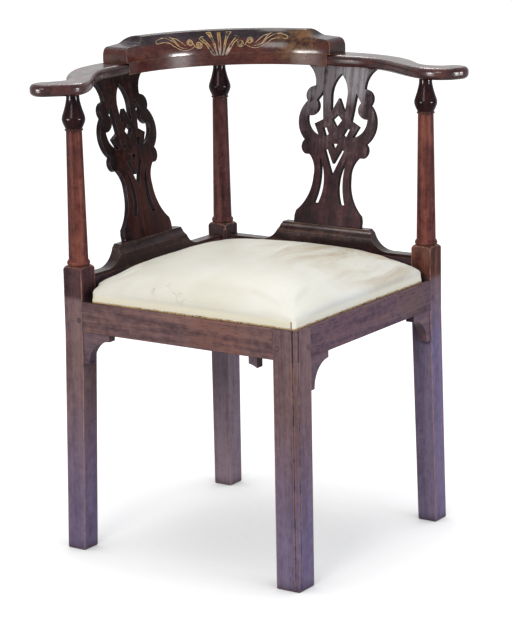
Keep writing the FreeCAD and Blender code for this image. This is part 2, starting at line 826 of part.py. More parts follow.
def crest_profile(floor):
    """The crest's section at x = 0: band, swelling that falls back, hollow and rounded top."""
    top = crest_top_height
    band = crest_band_height
    shoulder = crest_shoulder_height
    inner = bow_inner_radius
    outer = bow_outer_radius
    ledge = inner + crest_shoulder_setback
    front = inner + crest_top_setback
    back = front + crest_top_thickness
    rear = outer - crest_back_setback

    def at(out, z):
        return Vector(0, bow_centre_from_front + out, z)

    front_arris = at(front, top - crest_front_arris)
    back_arris = at(back, top - crest_top_fall)
    back_foot = at(rear, shoulder - crest_back_round)
    lip = at(inner - crest_lip, band)
    hollow_foot = at(ledge, shoulder)
    edges = [line(at(outer, floor), at(inner, floor)), line(at(inner, floor), at(inner, band)),
             line(at(inner, band), lip),
             arc(lip, at(inner + crest_shoulder_setback * 0.25, band + (shoulder - band) * 0.6),
                 hollow_foot),
             arc(hollow_foot,
                 at((ledge + front) / 2 + crest_lip, (shoulder + top) / 2), front_arris),
             arc(front_arris, at((front + back) / 2, top - crest_top_camber), back_arris),
             arc(back_arris, at(rear - crest_back_swell / 2, shoulder + crest_back_swell), back_foot),
             line(back_foot, at(rear, arm_top)), line(at(rear, arm_top), at(outer, arm_top))]
    if floor < arm_top:
        edges.append(line(at(outer, arm_top), at(outer, floor)))
    else:
        edges = edges[1:-1] + [line(at(rear, floor), at(inner, floor))]
    return closed_face(edges)


def crest_slice(from_angle, to_angle, floor):
    """The section swept round the bow between two angles, right of the middle."""
    face = crest_profile(floor)
    centre = Vector(0, bow_centre_from_front, 0)
    face.rotate(centre, Vector(0, 0, 1), -from_angle)
    return face.revolve(centre, Vector(0, 0, 1), -(to_angle - from_angle))


def crest_end_cut():
    """What is cut away at the end of the crest: the moulding returned over the arm
    and the hollow step down from the carved middle."""
    step_height = crest_top_height - crest_shoulder_height
    outside = -crest_step_from_end

    def at(inward, z):
        return Vector(inward, 0, z)

    def moulded(inward, rise):
        """A point of the returned moulding, in heights of it from the arm's top."""
        return at(inward * crest_moulding_height, arm_top + rise * crest_moulding_height)

    def stepped(inward, rise):
        """A point of the hollow step, in heights of it from the shoulder."""
        return at(crest_step_from_end + inward * step_height,
                  crest_shoulder_height + rise * step_height)

    foot = at(0, arm_top)
    face = at(0, arm_top + crest_moulding_face)
    roll = moulded(0.6, 1)
    step = stepped(0, 0.04)
    rim = stepped(1.05, 0.84)
    flat = stepped(1.55, 1.05)
    above = at(flat.x, tall)
    edges = [line(at(outside, arm_top), foot), line(foot, face),
             arc(face, moulded(0.16, 0.83), roll), line(roll, step),
             arc(step, stepped(0.7, 0.3), rim), arc(rim, stepped(1.25, 0.99), flat),
             line(flat, above), line(above, at(outside, tall)),
             line(at(outside, tall), at(outside, arm_top))]
    cut = closed_face(edges).extrude(Vector(0, bow_outer_radius, 0))
    cut.rotate(Vector(0, 0, 0), Vector(0, 0, 1), 180)
    cut.translate(Vector(crest_overhang, bow_outer_radius * 1.2, 0))
    cut.rotate(Vector(0, 0, 0), Vector(0, 0, 1), -butt_angle)
    cut.translate(Vector(0, bow_centre_from_front, 0))
    return cut


def right_half_crest():
    """Half of the crest, from the middle to its moulded end just over the arm."""
    overhang_angle = math.degrees(1.2 * crest_overhang / bow_inner_radius)
    middle = crest_slice(0, butt_angle, arm_underside)
    over = crest_slice(butt_angle, butt_angle + overhang_angle, arm_top)
    return middle.fuse(over).cut(crest_end_cut())


def crest_screws():
    """Two screws up through the crest's band and the right arm's tongue."""
    turn = butt_angle - math.degrees(crest_screw_from_butt / bow_middle_radius)
    screws = []
    for offset in crest_screw_offsets:
        foot = on_bow(turn, bow_inner_radius + offset, arm_underside)
        head = Part.makeCone(crest_screw_head_radius, crest_screw_radius,
                             crest_screw_head_depth, foot)
        shank = Part.makeCylinder(crest_screw_radius, crest_screw_length, foot)
        screws.append(head.fuse(shank).removeSplitter())
    return screws


def post_tenon_hole(x, y):
    radius = post_tenon_radius + tenon_hole_clearance
    depth = post_tenon_length + tenon_hole_clearance
    return Part.makeCylinder(radius, depth, Vector(x, y, arm_underside))


# Drop-in seat

seat_low = lip_width + seat_clearance
seat_high = back_rail_inner - seat_back_clearance
notch_face = inner_face - seat_notch_clearance
notch_side = post_square + seat_notch_clearance
cover_bottom = ledge_height + seat_rest_gap
frame_bottom = cover_bottom + cover_thickness
frame_top = frame_bottom + frame_member_thickness
webbing_top = frame_top + 2 * webbing_thickness
hessian_top = webbing_top + hessian_thickness


def seat_outline(inset, z):
    """The seat's plan: a square notched round three posts, its sides drawn in a little."""
    low = seat_low + inset
    high = seat_high - inset
    face = notch_face - inset
    side = notch_side + inset
    draw = cover_side_draw
    middle = (low + face) / 2

    def at(v, u):
        return Vector(v, u, z)

    edges = [arc(at(low, low), at(middle, low + draw), at(face, low)),
             line(at(face, low), at(face, side)), line(at(face, side), at(high, side)),
             arc(at(high, side), at(high - draw, (side + face) / 2), at(high, face)),
             line(at(high, face), at(face, face)), line(at(face, face), at(face, high)),
             arc(at(face, high), at((side + face) / 2, high - draw), at(side, high)),
             line(at(side, high), at(side, face)), line(at(side, face), at(low, face)),
             arc(at(low, face), at(low + draw, middle), at(low, low))]
    return closed_face(edges)


def crown_rise(share):
    """How much of the crown stands at a place across the seat, from -1 to 1."""
    return seat_crown * (crown_edge_share
                         + (1 - crown_edge_share) * (1 - abs(share) ** 3) ** 0.6)


def crowned_block(drop, base):
    """The padded shape over the whole square, its top lowered by a skin's thickness."""
    low = seat_low - overrun
    high = seat_high + overrun
    centre = (low + high) / 2
    half = (high - low) / 2
    wires = []
    for index in range(crown_stations):
        share = -math.cos(math.pi * index / (crown_stations - 1))
        u = centre + half * share
        rise = crown_rise(share)
        edge = cover_edge_height - drop
        knee = edge + rise * crown_shoulder_share
        crest = edge + rise
        bend = edge + rise * crown_shoulder_share * 0.66

        def at(v, z):
            return Vector(v, u, z)

        front_knee = at(low + crown_shoulder, knee)
        back_knee = at(high - crown_shoulder, knee)
        edges = [line(at(high, base), at(low, base)), line(at(low, base), at(low, edge)),
                 arc(at(low, edge), at(low + crown_shoulder * 0.4, bend), front_knee),
                 arc(front_knee, at(centre, crest), back_knee),
                 arc(back_knee, at(high - crown_shoulder * 0.4, bend), at(high, edge)),
                 line(at(high, edge), at(high, base))]
        wires.append(Part.Wire(edges))
    return Part.makeLoft(wires, True, False)


def seat_pad(inset, drop, base):
    """The crowned block cut to the seat's plan."""
    outline = seat_outline(inset, base).extrude(Vector(0, 0, tall))
    return solid_of(crowned_block(drop, base - overrun).common(outline))


def seat_cover():
    """The leather skin: crown, sides and the margin turned under the frame."""
    outer = seat_pad(0, 0, cover_bottom)
    inner = seat_pad(cover_thickness, cover_thickness, frame_bottom)
    shell = outer.cut(inner)
    window = seat_box(seat_low + cover_turn_under, seat_high - cover_turn_under,
                      seat_low + cover_turn_under, seat_high - cover_turn_under,
                      0, frame_bottom + overrun)
    return solid_of(shell.cut(window))


frame_inset = cover_thickness + cover_side_draw + frame_slack
frame_low = seat_low + frame_inset
frame_high = seat_high - frame_inset
frame_face = notch_face - frame_inset
frame_side = notch_side + frame_inset
member_inner_low = frame_low + frame_member_width
member_inner_high = frame_high - frame_member_width


def frame_ring():
    """The wooden frame as one ring, before it is divided into members."""
    outer = prism([Vector(v, u, frame_bottom) for v, u in (
        (frame_low, frame_low), (frame_face, frame_low), (frame_face, frame_side),
        (frame_high, frame_side), (frame_high, frame_face), (frame_face, frame_face),
        (frame_face, frame_high), (frame_side, frame_high), (frame_side, frame_face),
        (frame_low, frame_face))], frame_member_thickness)
    inner = seat_box(member_inner_low, member_inner_high, member_inner_low, member_inner_high,
                     0, tall)
    return outer.cut(inner)


def frame_tenons(clearance):
    """The four tenons that hold the frame's members together."""
    middle = (frame_bottom + frame_top) / 2
    low = middle - frame_tenon_thickness / 2 - clearance
    high = middle + frame_tenon_thickness / 2 + clearance
    reach = frame_tenon_length + clearance
    side = frame_tenon_shoulder - clearance
    front = seat_box(frame_low + side, member_inner_low - side,
                     member_inner_low - reach, member_inner_low, low, high)
    right = seat_box(member_inner_high + side, frame_face - side,
                     frame_side - reach, frame_side, low, high)
    left = seat_box(frame_side - reach, frame_side,
                    member_inner_high + side, frame_face - side, low, high)
    rear = seat_box(member_inner_high, member_inner_high + reach,
                    member_inner_high + side, frame_face - side, low, high)
    return front, right, left, rear


def frame_members():
    """Front right, front left, back right and back left members with their joints."""
    ring = frame_ring()
    big = 2 * seat_square
    front_right_zone = seat_box(0, member_inner_high, 0, member_inner_low, 0, tall).fuse(
        seat_box(0, big, 0, frame_side, 0, tall))
    front_left_zone = seat_box(0, member_inner_low, member_inner_low, member_inner_high, 0, tall)
    front_left_zone = front_left_zone.fuse(seat_box(0, frame_side, member_inner_low, big, 0, tall))
    back_right_zone = seat_box(member_inner_high, big, frame_side, frame_face, 0, tall)
    front, right, left, rear = frame_tenons(0)
    front_hole, right_hole, left_hole, rear_hole = frame_tenons(mortise_clearance)
    front_right = ring.common(front_right_zone).cut([front_hole, right_hole])
    front_left = ring.common(front_left_zone).fuse(front).cut(left_hole)
    back_right = ring.common(back_right_zone).fuse(right).cut(rear_hole)
    back_left = ring.cut([front_right_zone, front_left_zone, back_right_zone])
    back_left = back_left.fuse([left, rear])
    return [solid_of(one) for one in (front_right, front_left, back_right, back_left)]


def webbing_places():
    """Centre lines of the strips across the seat."""
    span = member_inner_high - member_inner_low
    return [member_inner_low + span * (i + 1) / (webbing_count + 1) for i in range(webbing_count)]


def webbing_strip(centre, layer, along_v):
    start = member_inner_low - webbing_lap
    end = member_inner_high + webbing_lap
    low = frame_top + layer * webbing_thickness
    half = webbing_width / 2
    if along_v:
        return seat_box(start, end, centre - half, centre + half, low, low + webbing_thickness)
    return seat_box(centre - half, centre + half, start, end, low, low + webbing_thickness)


def tack(place_point, down, shank):
    """A tack whose head lies on a face; down is 1 for one driven down, -1 for up."""
    head = Part.makeCylinder(tack_head_radius, tack_head_thickness, place_point,
                             Vector(0, 0, down))
    stem_start = place_point - Vector(0, 0, down * shank)
    stem = Part.makeCylinder(tack_shank_radius, shank, stem_start, Vector(0, 0, down))
    return head.fuse(stem).removeSplitter()


def cover_tacks():
    """Tacks up through the turned-under margin into the frame."""
    low = seat_low + cover_tack_inset
    high = seat_high - cover_tack_inset
    start = notch_side + cover_tack_inset
    step = (notch_face - cover_tack_inset - start) / (cover_tacks_per_side - 1)
    tacks = []
    for index in range(cover_tacks_per_side):
        place_at = start + index * step
        for v, u in ((place_at, low), (place_at, high), (low, place_at), (high, place_at)):
            tacks.append(tack(Vector(v, u, cover_bottom), -1, tack_shank_length))
    return tacks


def webbing_tacks():
    """Tacks at both ends of every strip."""
    tacks = []
    spread = webbing_width / (webbing_tacks_per_end + 1)
    for layer, along_v in ((0, True), (1, False)):
        top = frame_top + (layer + 1) * webbing_thickness
        for centre in webbing_places():
            for end in (member_inner_low - webbing_lap / 2, member_inner_high + webbing_lap / 2):
                for index in range(webbing_tacks_per_end):
                    across = centre + (index - (webbing_tacks_per_end - 1) / 2) * spread
                    spot = (end, across) if along_v else (across, end)
                    tacks.append(tack(Vector(spot[0], spot[1], top), 1, tack_shank_length))
    return tacks


def build_seat():
    """Every piece of the drop-in seat."""
    members = frame_members()
    into_cover = cover_tacks()
    into_webbing = webbing_tacks()
    all_tacks = Part.makeCompound(into_cover + into_webbing)
    names = ("seat_frame_front_right", "seat_frame_front_left",
             "seat_frame_back_right", "seat_frame_back_left")
    for name, member in zip(names, members):
        save(name, place(member.cut(all_tacks)))
    heads = Part.makeCompound(into_webbing)
    for index, centre in enumerate(webbing_places()):
        number = str(index + 1)
        save("webbing_cross_" + number, place(webbing_strip(centre, 0, True).cut(heads)))
        save("webbing_long_" + number, place(webbing_strip(centre, 1, False).cut(heads)))
    sheet = seat_outline(frame_inset, webbing_top).extrude(Vector(0, 0, hessian_thickness))
    save("seat_hessian", place(sheet.cut(heads)))
    stuffing = seat_pad(cover_thickness, cover_thickness, hessian_top)
    save("seat_stuffing", place(stuffing.cut(heads)))
    save("seat_cover", place(seat_cover().cut(Part.makeCompound(into_cover))))
    save("cover_tacks", place(Part.makeCompound(into_cover)))
    save("webbing_tacks", place(heads))


def build_underframe():
    """Legs, posts, rails, brackets, glue blocks, pegs and their nails."""
    right_pegs = pegs()
    peg_holes = Part.makeCompound(right_pegs)
    front_mortises = front_rail_tenons(mortise_clearance)
    back_mortises = back_rail_tenons(mortise_clearance)
    nails_up = bracket_nails(inner_face, -1, False)
    nails_up += bracket_nails(front_leg_square, 1, False)
    nails_up_left = bracket_nails(inner_face, -1, False)
    nails_up_left += bracket_nails(front_leg_square, 1, True)
    shoe_pins = shoe_nails()
    block_pins = glue_block_nails()
    block_pin_set = Part.makeCompound(block_pins)

    near_side = front_leg().cut(front_mortises + [peg_holes])
    leg_shape = place(near_side)
    other_side = mirrored(place(Part.makeCompound([front_mortises[0], peg_holes])))
    leg_shape = leg_shape.cut(other_side).cut(place(block_pin_set))
    save("front_leg", solid_of(leg_shape))

    right = place(side_post().cut(front_mortises + back_mortises + [peg_holes, block_pin_set]))
    save("right_post", solid_of(right))
    save("left_post", solid_of(mirrored(right)))
    rear = place(rear_post().cut(back_mortises + [peg_holes]))
    rear = rear.cut(mirrored(place(Part.makeCompound([back_mortises[1], peg_holes]))))
    save("rear_post", solid_of(rear.cut(place(block_pin_set))))

    front = front_rail().cut(peg_holes).cut(block_pin_set)
    save("front_right_rail", place(solid_of(front.cut(nails_up))))
    save("front_left_rail", mirrored(place(solid_of(front.cut(nails_up_left)))))
    back = place(solid_of(back_rail().cut([peg_holes, block_pin_set] + shoe_pins)))
    save("back_right_rail", back)
    save("back_left_rail", mirrored(back))

    post_solid = side_post()
    outer_bracket = turned_about(bracket(0), 0)
    outer_bracket.translate(Vector(inner_face, 0, 0))
    outer_bracket = solid_of(outer_bracket.cut([post_solid] + nails_up))
    inner_bracket = solid_of(bracket(front_leg_square).cut([front_leg()] + nails_up))
    kept = seat_box(front_leg_square + bracket_stub_start, front_leg_square + bracket_stub_end,
                    -overrun, tall, 0, tall)
    remnant = solid_of(bracket(front_leg_square).common(kept).cut(nails_up_left))
    save("right_bracket", place(outer_bracket))
    save("left_bracket", mirrored(place(outer_bracket)))
    save("front_right_bracket", place(inner_bracket))
    save("front_left_bracket_stub", mirrored(place(remnant)))

    front_block, side_block, rear_block = glue_blocks()
    save("front_glue_block", place(front_block.cut(block_pin_set)))
    save("right_glue_block", place(side_block.cut(block_pin_set)))
    save("left_glue_block", mirrored(place(side_block.cut(block_pin_set))))
    save("rear_glue_block", place(rear_block.cut(block_pin_set)))

    right_set = place(Part.makeCompound(right_pegs))
    save("joint_pegs", Part.makeCompound(right_set.Solids + mirrored(right_set).Solids))
    set_right = place(Part.makeCompound(nails_up))
    set_left = mirrored(place(Part.makeCompound(nails_up_left)))
    save("bracket_nails", Part.makeCompound(set_right.Solids + set_left.Solids))
    front_pin, side_pin, rear_pin = [place(one) for one in block_pins]
    save("glue_block_nails", Part.makeCompound([front_pin, side_pin, mirrored(side_pin), rear_pin]))
    pins = place(Part.makeCompound(shoe_pins))
    save("shoe_nails", Part.makeCompound(pins.Solids + mirrored(pins).Solids))


def build_back():
    """Shoes, splats, arms and crest rail."""
    lower_mortise, upper_mortise = splat_tenons()
    seated_shoe = place(solid_of(shoe().cut([lower_mortise] + shoe_nails())))
    save("right_shoe", seated_shoe)
    save("left_shoe", mirrored(seated_shoe))
    panel = place(splat())
    save("right_splat", panel)
    save("left_splat", mirrored(panel))

    screws = crest_screws()
    socket = place(upper_mortise)
    hole = shift_back(post_tenon_hole(side_post_out, side_post_back))
    screw_set = shift_back(Part.makeCompound(screws))
    tongue = shift_back(arm_tongue(0))
    for name, sweep in (("right_arm", 1), ("left_arm", -1)):
        shape = shift_back(arm(sweep)).fuse(tongue).cut([socket, hole, screw_set])
        shape = solid_of(shape)
        save(name, shape if sweep > 0 else mirrored(shape))

    half = shift_back(right_half_crest())
    half = half.cut([socket, screw_set, shift_back(arm_tongue(mortise_clearance))])
    whole = half.fuse(mirrored(half))
    whole = whole.cut(shift_back(post_tenon_hole(0, rear_post_from_front)))
    save("crest_rail", solid_of(whole))
    save("crest_screws", Part.makeCompound(screw_set.Solids + mirrored(screw_set).Solids))


def main():
    os.makedirs("parts", exist_ok=True)
    build_underframe()
    build_back()
    build_seat()


main()
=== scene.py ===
import math
from collections import namedtuple

import bmesh
import bpy
from mathutils import Matrix, Vector, noise


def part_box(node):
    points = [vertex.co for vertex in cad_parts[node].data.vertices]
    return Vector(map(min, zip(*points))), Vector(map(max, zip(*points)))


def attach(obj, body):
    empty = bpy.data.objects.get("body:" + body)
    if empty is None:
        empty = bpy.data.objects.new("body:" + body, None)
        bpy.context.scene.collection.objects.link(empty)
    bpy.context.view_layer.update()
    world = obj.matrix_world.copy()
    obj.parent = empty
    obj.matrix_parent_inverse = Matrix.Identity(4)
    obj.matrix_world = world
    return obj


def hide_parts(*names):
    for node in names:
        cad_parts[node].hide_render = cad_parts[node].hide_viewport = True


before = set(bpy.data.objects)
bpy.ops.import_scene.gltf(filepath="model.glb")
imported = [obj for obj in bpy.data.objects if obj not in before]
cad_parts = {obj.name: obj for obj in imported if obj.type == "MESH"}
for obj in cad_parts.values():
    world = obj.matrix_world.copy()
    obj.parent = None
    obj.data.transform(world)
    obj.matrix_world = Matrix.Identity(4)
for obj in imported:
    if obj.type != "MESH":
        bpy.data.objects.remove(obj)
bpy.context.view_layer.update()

# Sizes of the legs and rails, shared with the part's source, in metres
MM = 0.001
plan_middle = 328.344 * MM
rail_bottom = 379 * MM
rail_top = 430 * MM
shoulder_height = 487 * MM
column_head = 712 * MM

# Drop-in seat. Its plan runs from seat_low to seat_high both ways. The notches for the posts
# start at notch_face along one side and end at notch_side along the other
seat_low = 6.6 * MM
seat_high = 428.5 * MM
notch_face = 407 * MM
notch_side = 50 * MM
seat_crown = 42 * MM
frame_top = 439.9 * MM
cover_bottom = 418.3 * MM
cover_thickness = 1.6 * MM
cover_edge_height = 446.5 * MM
cover_turn_under = 34 * MM
cover_side_draw = 1.5 * MM

# Webbing, hessian and stuffing of the seat
webbing_low = 55 * MM
webbing_high = 380.1 * MM
webbing_lap = 24 * MM
webbing_width = 50 * MM
webbing_thickness = 1.0 * MM
hessian_level = 442.75 * MM
hessian_inset = 3.3 * MM
hessian_thickness = 0.6 * MM
stuffing_bottom = 443.2 * MM

# Crest rail on the bow
bow_centre_y = 361.543 * MM - plan_middle
bow_inner_radius = 239.985 * MM
crest_band_top = 792 * MM
crest_shoulder = 818.5 * MM
crest_front_top = 832 * MM
crest_shoulder_setback = 6 * MM
crest_top_setback = 12 * MM
crest_lip = 1 * MM
crest_hollow_power = 1.36

# Carving. Its middle, in millimetres, is a little to the left of the crest's
carving_middle = -1.5
stroke_sides = 8
stroke_lift = 0.2 * MM
stroke_steps = 6

# Camera, fitted to the photograph
camera_place = (-0.76614, -3.97257, 1.33916)
camera_forward = (0.18467, 0.95594, -0.22819)
camera_roll = math.radians(-1.11)
camera_lens = 142.9
camera_film = 36

# Directions: the chair stands on its corner, so the seat's sides run slantwise
slant = math.sqrt(0.5)
along_v = (slant, slant, 0)
along_u = (-slant, slant, 0)
upright = (0, 0, 1)
up_right_splat = (0.1447, 0.1447, 0.9789)
up_left_splat = (-0.1447, 0.1447, 0.9789)


# Places, objects and meshes

def seat_point(v, u, z):
    """A point of the chair, given along the seat's two sides from its front corner."""
    return Vector(((v - u) * slant, (u + v) * slant - plan_middle, z))


def seat_place(point):
    """How far a point lies along the seat's two sides."""
    y = point.y + plan_middle
    return (y + point.x) * slant, (y - point.x) * slant


def new_object(name, data):
    obj = bpy.data.objects.new(name, data)
    bpy.context.scene.collection.objects.link(obj)
    return obj


def mesh_object(name, mesh):
    """An object of a mesh in the making, with its faces turned outwards."""
    bmesh.ops.recalc_face_normals(mesh, faces=mesh.faces)
    data = bpy.data.meshes.new(name)
    mesh.to_mesh(data)
    mesh.free()
    return new_object(name, data)


def bridge(mesh, rows, closed):
    """Faces between rows of points. Closed rows run all the way round."""
    for first, second in zip(rows, rows[1:]):
        count = len(first)
        for k in range(count if closed else count - 1):
            nxt = (k + 1) % count
            mesh.faces.new((first[k], first[nxt], second[nxt], second[k]))


def smooth(mesh):
    for face in mesh.polygons:
        face.use_smooth = True


def cover_with(mesh, material):
    mesh.materials.clear()
    mesh.materials.append(material)


def add_skin(obj, thickness, offset):
    """Thickness for a piece of cloth or leather."""
    skin = obj.modifiers.new("skin", "SOLIDIFY")
    skin.thickness = thickness
    skin.offset = offset


def apply_modifiers(obj):
    depsgraph = bpy.context.evaluated_depsgraph_get()
    result = bpy.data.meshes.new_from_object(obj.evaluated_get(depsgraph))
    old = obj.data
    obj.modifiers.clear()
    obj.data = result
    bpy.data.meshes.remove(old)


# Nodes of materials

class Nodes:
    """A node tree being built, with short calls for the nodes that the scene uses."""

    def __init__(self, tree):
        self.tree = tree
        self.tree.nodes.clear()

    def link(self, a, b):
        self.tree.links.new(a, b)

    def feed(self, socket, value):
        """Link a socket to another node, or set it to a number, a vector or a colour."""
        if hasattr(value, "is_linked"):
            self.link(value, socket)
        elif isinstance(value, tuple) and socket.type == "RGBA":
            socket.default_value = value + (1,)
        else:
            socket.default_value = value

    def add(self, kind, values=None, **options):
        """A node with its options set and its sockets fed."""
        node = self.tree.nodes.new(kind)
        for name, value in options.items():
            setattr(node, name, value)
        for name, value in (values or {}).items():
            self.feed(node.inputs[name], value)
        return node

    def object_place(self):
        return self.add("ShaderNodeTexCoord").outputs["Object"]

    def math(self, operation, a, b=0.0):
        return self.add("ShaderNodeMath", {0: a, 1: b}, operation=operation).outputs[0]

    def times(self, a, b):
        return self.math("MULTIPLY", a, b)

    def weighted(self, *parts):
        """Values added up, each times its share."""
        terms = [self.times(value, share) for value, share in parts]
        total = terms[0]
        for term in terms[1:]:
            total = self.math("ADD", total, term)
        return total

    def vector_math(self, operation, a, b):
        node = self.add("ShaderNodeVectorMath", {0: a, 1: b}, operation=operation)
        return node.outputs["Value"]

    def ramp(self, value, low, high, start=0.0, end=1.0):
        """From start to end, softly, as the value goes from low to high."""
        values = {"Value": value, "From Min": low, "From Max": high, "To Min": start,
                  "To Max": end}
        node = self.add("ShaderNodeMapRange", values, interpolation_type="SMOOTHSTEP")
        return node.outputs["Result"]

    def around(self, value, level, softness, start=0.0, end=1.0):
        """From start to end, softly, as the value passes a level."""
        return self.ramp(value, level - softness, level + softness, start, end)

    def seen_as(self, elsewhere, seen, output):
        """One shader for the camera, mirrors and clear bodies, and another for the rest."""
        path = self.add("ShaderNodeLightPath").outputs
        rays = self.math("MAXIMUM", path["Is Camera Ray"], path["Is Glossy Ray"])
        rays = self.math("MAXIMUM", rays, path["Is Transmission Ray"])
        mix = self.add("ShaderNodeMixShader", {0: rays, 1: elsewhere, 2: seen})
        self.add(output, {"Surface": mix.outputs[0]})


class Paint(Nodes):
    """A material being built round one main shader."""

    def __init__(self, name):
        self.material = bpy.data.materials.new(name)
        self.material.use_nodes = True
        super().__init__(self.material.node_tree)
        self.surface = self.add("ShaderNodeBsdfPrincipled")
        self.add("ShaderNodeOutputMaterial", {"Surface": self.surface.outputs[0]})
        self.place = self.object_place()

    def finish(self, colour, roughness, normal, gloss=0.5):
        """The material, with what was worked out given to its shader."""
        inputs = self.surface.inputs
        self.feed(inputs["Base Color"], colour)
        self.feed(inputs["Roughness"], roughness)
        self.feed(inputs["Specular IOR Level"], gloss)
        self.feed(inputs["Normal"], normal)
        return self.material

    def turned(self, grain, shift=(0, 0, 0)):
        """Object coordinates turned so that their x runs along the grain."""
        turn = Vector(grain).normalized().rotation_difference(Vector((1, 0, 0)))
        values = {"Vector": self.place, "Rotation": turn.to_euler(), "Location": shift}
        return self.add("ShaderNodeMapping", values).outputs[0]

    def scaled(self, vector, scale):
        return self.add("ShaderNodeMapping", {"Vector": vector, "Scale": scale}).outputs[0]

    def noise(self, vector, scale, detail, rough, warp=0.0):
        values = {"Vector": vector, "Scale": scale, "Detail": detail, "Roughness": rough,
                  "Distortion": warp}
        return self.add("ShaderNodeTexNoise", values).outputs["Fac"]

    def cells(self, vector, scale):
        values = {"Vector": vector, "Scale": scale}
        return self.add("ShaderNodeTexVoronoi", values).outputs["Distance"]

    def mix(self, share, a, b, mode="MIX"):
        values = {"Factor": share, "A": a, "B": b}
        node = self.add("ShaderNodeMix", values, data_type="RGBA", blend_type=mode)
        return node.outputs["Result"]

    def axis(self, vector, name):
        return self.add("ShaderNodeSeparateXYZ", {0: vector}).outputs[name]

    def distance(self, centre):
        return self.vector_math("DISTANCE", self.place, centre)

    def normal(self):
        return self.add("ShaderNodeNewGeometry").outputs["Normal"]

    def rounded(self, radius):
        """The surface's normal with its sharp edges eased."""
        return self.add("ShaderNodeBevel", {"Radius": radius}, samples=6).outputs[0]

    def edge(self, radius, low, high):
        """One on sharp edges, falling to nought away from them."""
        eased = self.vector_math("DOT_PRODUCT", self.rounded(radius), self.normal())
        return self.ramp(self.math("SUBTRACT", 1.0, eased), low, high)

    def facing(self, direction, low, high):
        """How far the surface turns away from a direction and its opposite."""
        turn = self.vector_math("DOT_PRODUCT", self.normal(), direction)
        return self.ramp(self.math("ABSOLUTE", turn), low, high)

    def grime_and_shade(self, reach, most):
        """The share of painted shade in corners and between parts, where nearby surfaces shut out
        the light. It also stands for old polish and dirt gathered there.
        """
        nearly_open = 0.85
        nearly_shut = 0.35
        shade_occlusion = self.add("ShaderNodeAmbientOcclusion", {"Distance": reach}, samples=5)
        return self.ramp(shade_occlusion.outputs["AO"], nearly_open, nearly_shut, 0.0, most)

    def bump(self, height, distance, strength, normal=None):
        values = {"Height": height, "Distance": distance, "Strength": strength}
        if normal is not None:
            values["Normal"] = normal
        return self.add("ShaderNodeBump", values).outputs[0]


# Camera, light and floor

def add_camera():
    forward = Vector(camera_forward).normalized()
    side = forward.cross(Vector(upright)).normalized()
    up = side.cross(forward)
    turned_side = side * math.cos(camera_roll) + up * math.sin(camera_roll)
    turned_up = up * math.cos(camera_roll) - side * math.sin(camera_roll)
    data = bpy.data.cameras.new("camera")
    data.lens = camera_lens
    data.sensor_width = camera_film
    data.clip_end = 100
    obj = new_object("camera", data)
    matrix = Matrix((turned_side, turned_up, -forward)).transposed().to_4x4()
    matrix.translation = Vector(camera_place)
    obj.matrix_world = matrix
    bpy.context.scene.camera = obj


def add_lamp(name, place, aim, width, height, power, colour=(1, 1, 1)):
    data = bpy.data.lights.new(name, "AREA")
    data.shape = "RECTANGLE"
    data.size = width
    data.size_y = height
    data.energy = power
    data.color = colour
    obj = new_object(name, data)
    obj.location = place
    obj.rotation_euler = (Vector(aim) - Vector(place)).to_track_quat("-Z", "Y").to_euler()
    return obj


def add_window(name, place, aim, width, height, power):
    """A bright window that shows in polish and adds no light of its own."""
    lamp = add_lamp(name, place, aim, width, height, power)
    lamp.visible_diffuse = False


def add_world():
    """Even light from all round. The camera and the polish see plain white."""
    room_colour = (0.93, 0.95, 1.0)
    room_strength = 0.42
    world = bpy.data.worlds.new("studio")
    bpy.context.scene.world = world
    world.use_nodes = True
    nodes = Nodes(world.node_tree)
    room = nodes.add("ShaderNodeBackground", {"Color": room_colour, "Strength": room_strength})
    white = nodes.add("ShaderNodeBackground", {"Color": (1, 1, 1), "Strength": 1.0})
    nodes.seen_as(room.outputs[0], white.outputs[0], "ShaderNodeOutputWorld")


def white_floor_with_painted_shadow():
    """White for the camera and the polish, with a painted soft shadow of what stands on it: the
    glow dims where things nearby shut out the sky and near the chair's middle. The matt part
    keeps the lamps' own shadow.
    """
    floor_grey = (0.34, 0.34, 0.34)
    painted_shadow_reach = 0.55
    shadow_fade_from = 0.1
    shadow_fade_to = 0.6
    glow_under_painted_shadow = 0.84
    material = bpy.data.materials.new("floor")
    material.use_nodes = True
    nodes = Nodes(material.node_tree)
    matt = nodes.add("ShaderNodeBsdfDiffuse", {"Color": floor_grey})
    # Painted shadow: the glow is dimmed by occlusion and near the chair's middle
    shade_occlusion = nodes.add("ShaderNodeAmbientOcclusion", {"Distance": painted_shadow_reach}, samples=12)
    away = nodes.vector_math("DISTANCE", nodes.object_place(), (0, 0, 0))
    painted_shadow_fade = nodes.ramp(away, shadow_fade_from, shadow_fade_to, glow_under_painted_shadow, 1.0)
    glow = nodes.add("ShaderNodeEmission", {"Strength": nodes.times(shade_occlusion.outputs["AO"], painted_shadow_fade)})
    both = nodes.add("ShaderNodeAddShader", {0: matt.outputs[0], 1: glow.outputs[0]})
    nodes.seen_as(matt.outputs[0], both.outputs[0], "ShaderNodeOutputMaterial")
    return material


def add_floor():
    reach = 30
    corners = [(-reach, -reach, 0), (reach, -reach, 0), (reach, reach, 0), (-reach, reach, 0)]
    mesh = bpy.data.meshes.new("floor")
    mesh.from_pydata(corners, [], [(0, 1, 2, 3)])
    cover_with(mesh, white_floor_with_painted_shadow())
    obj = new_object("floor", mesh)


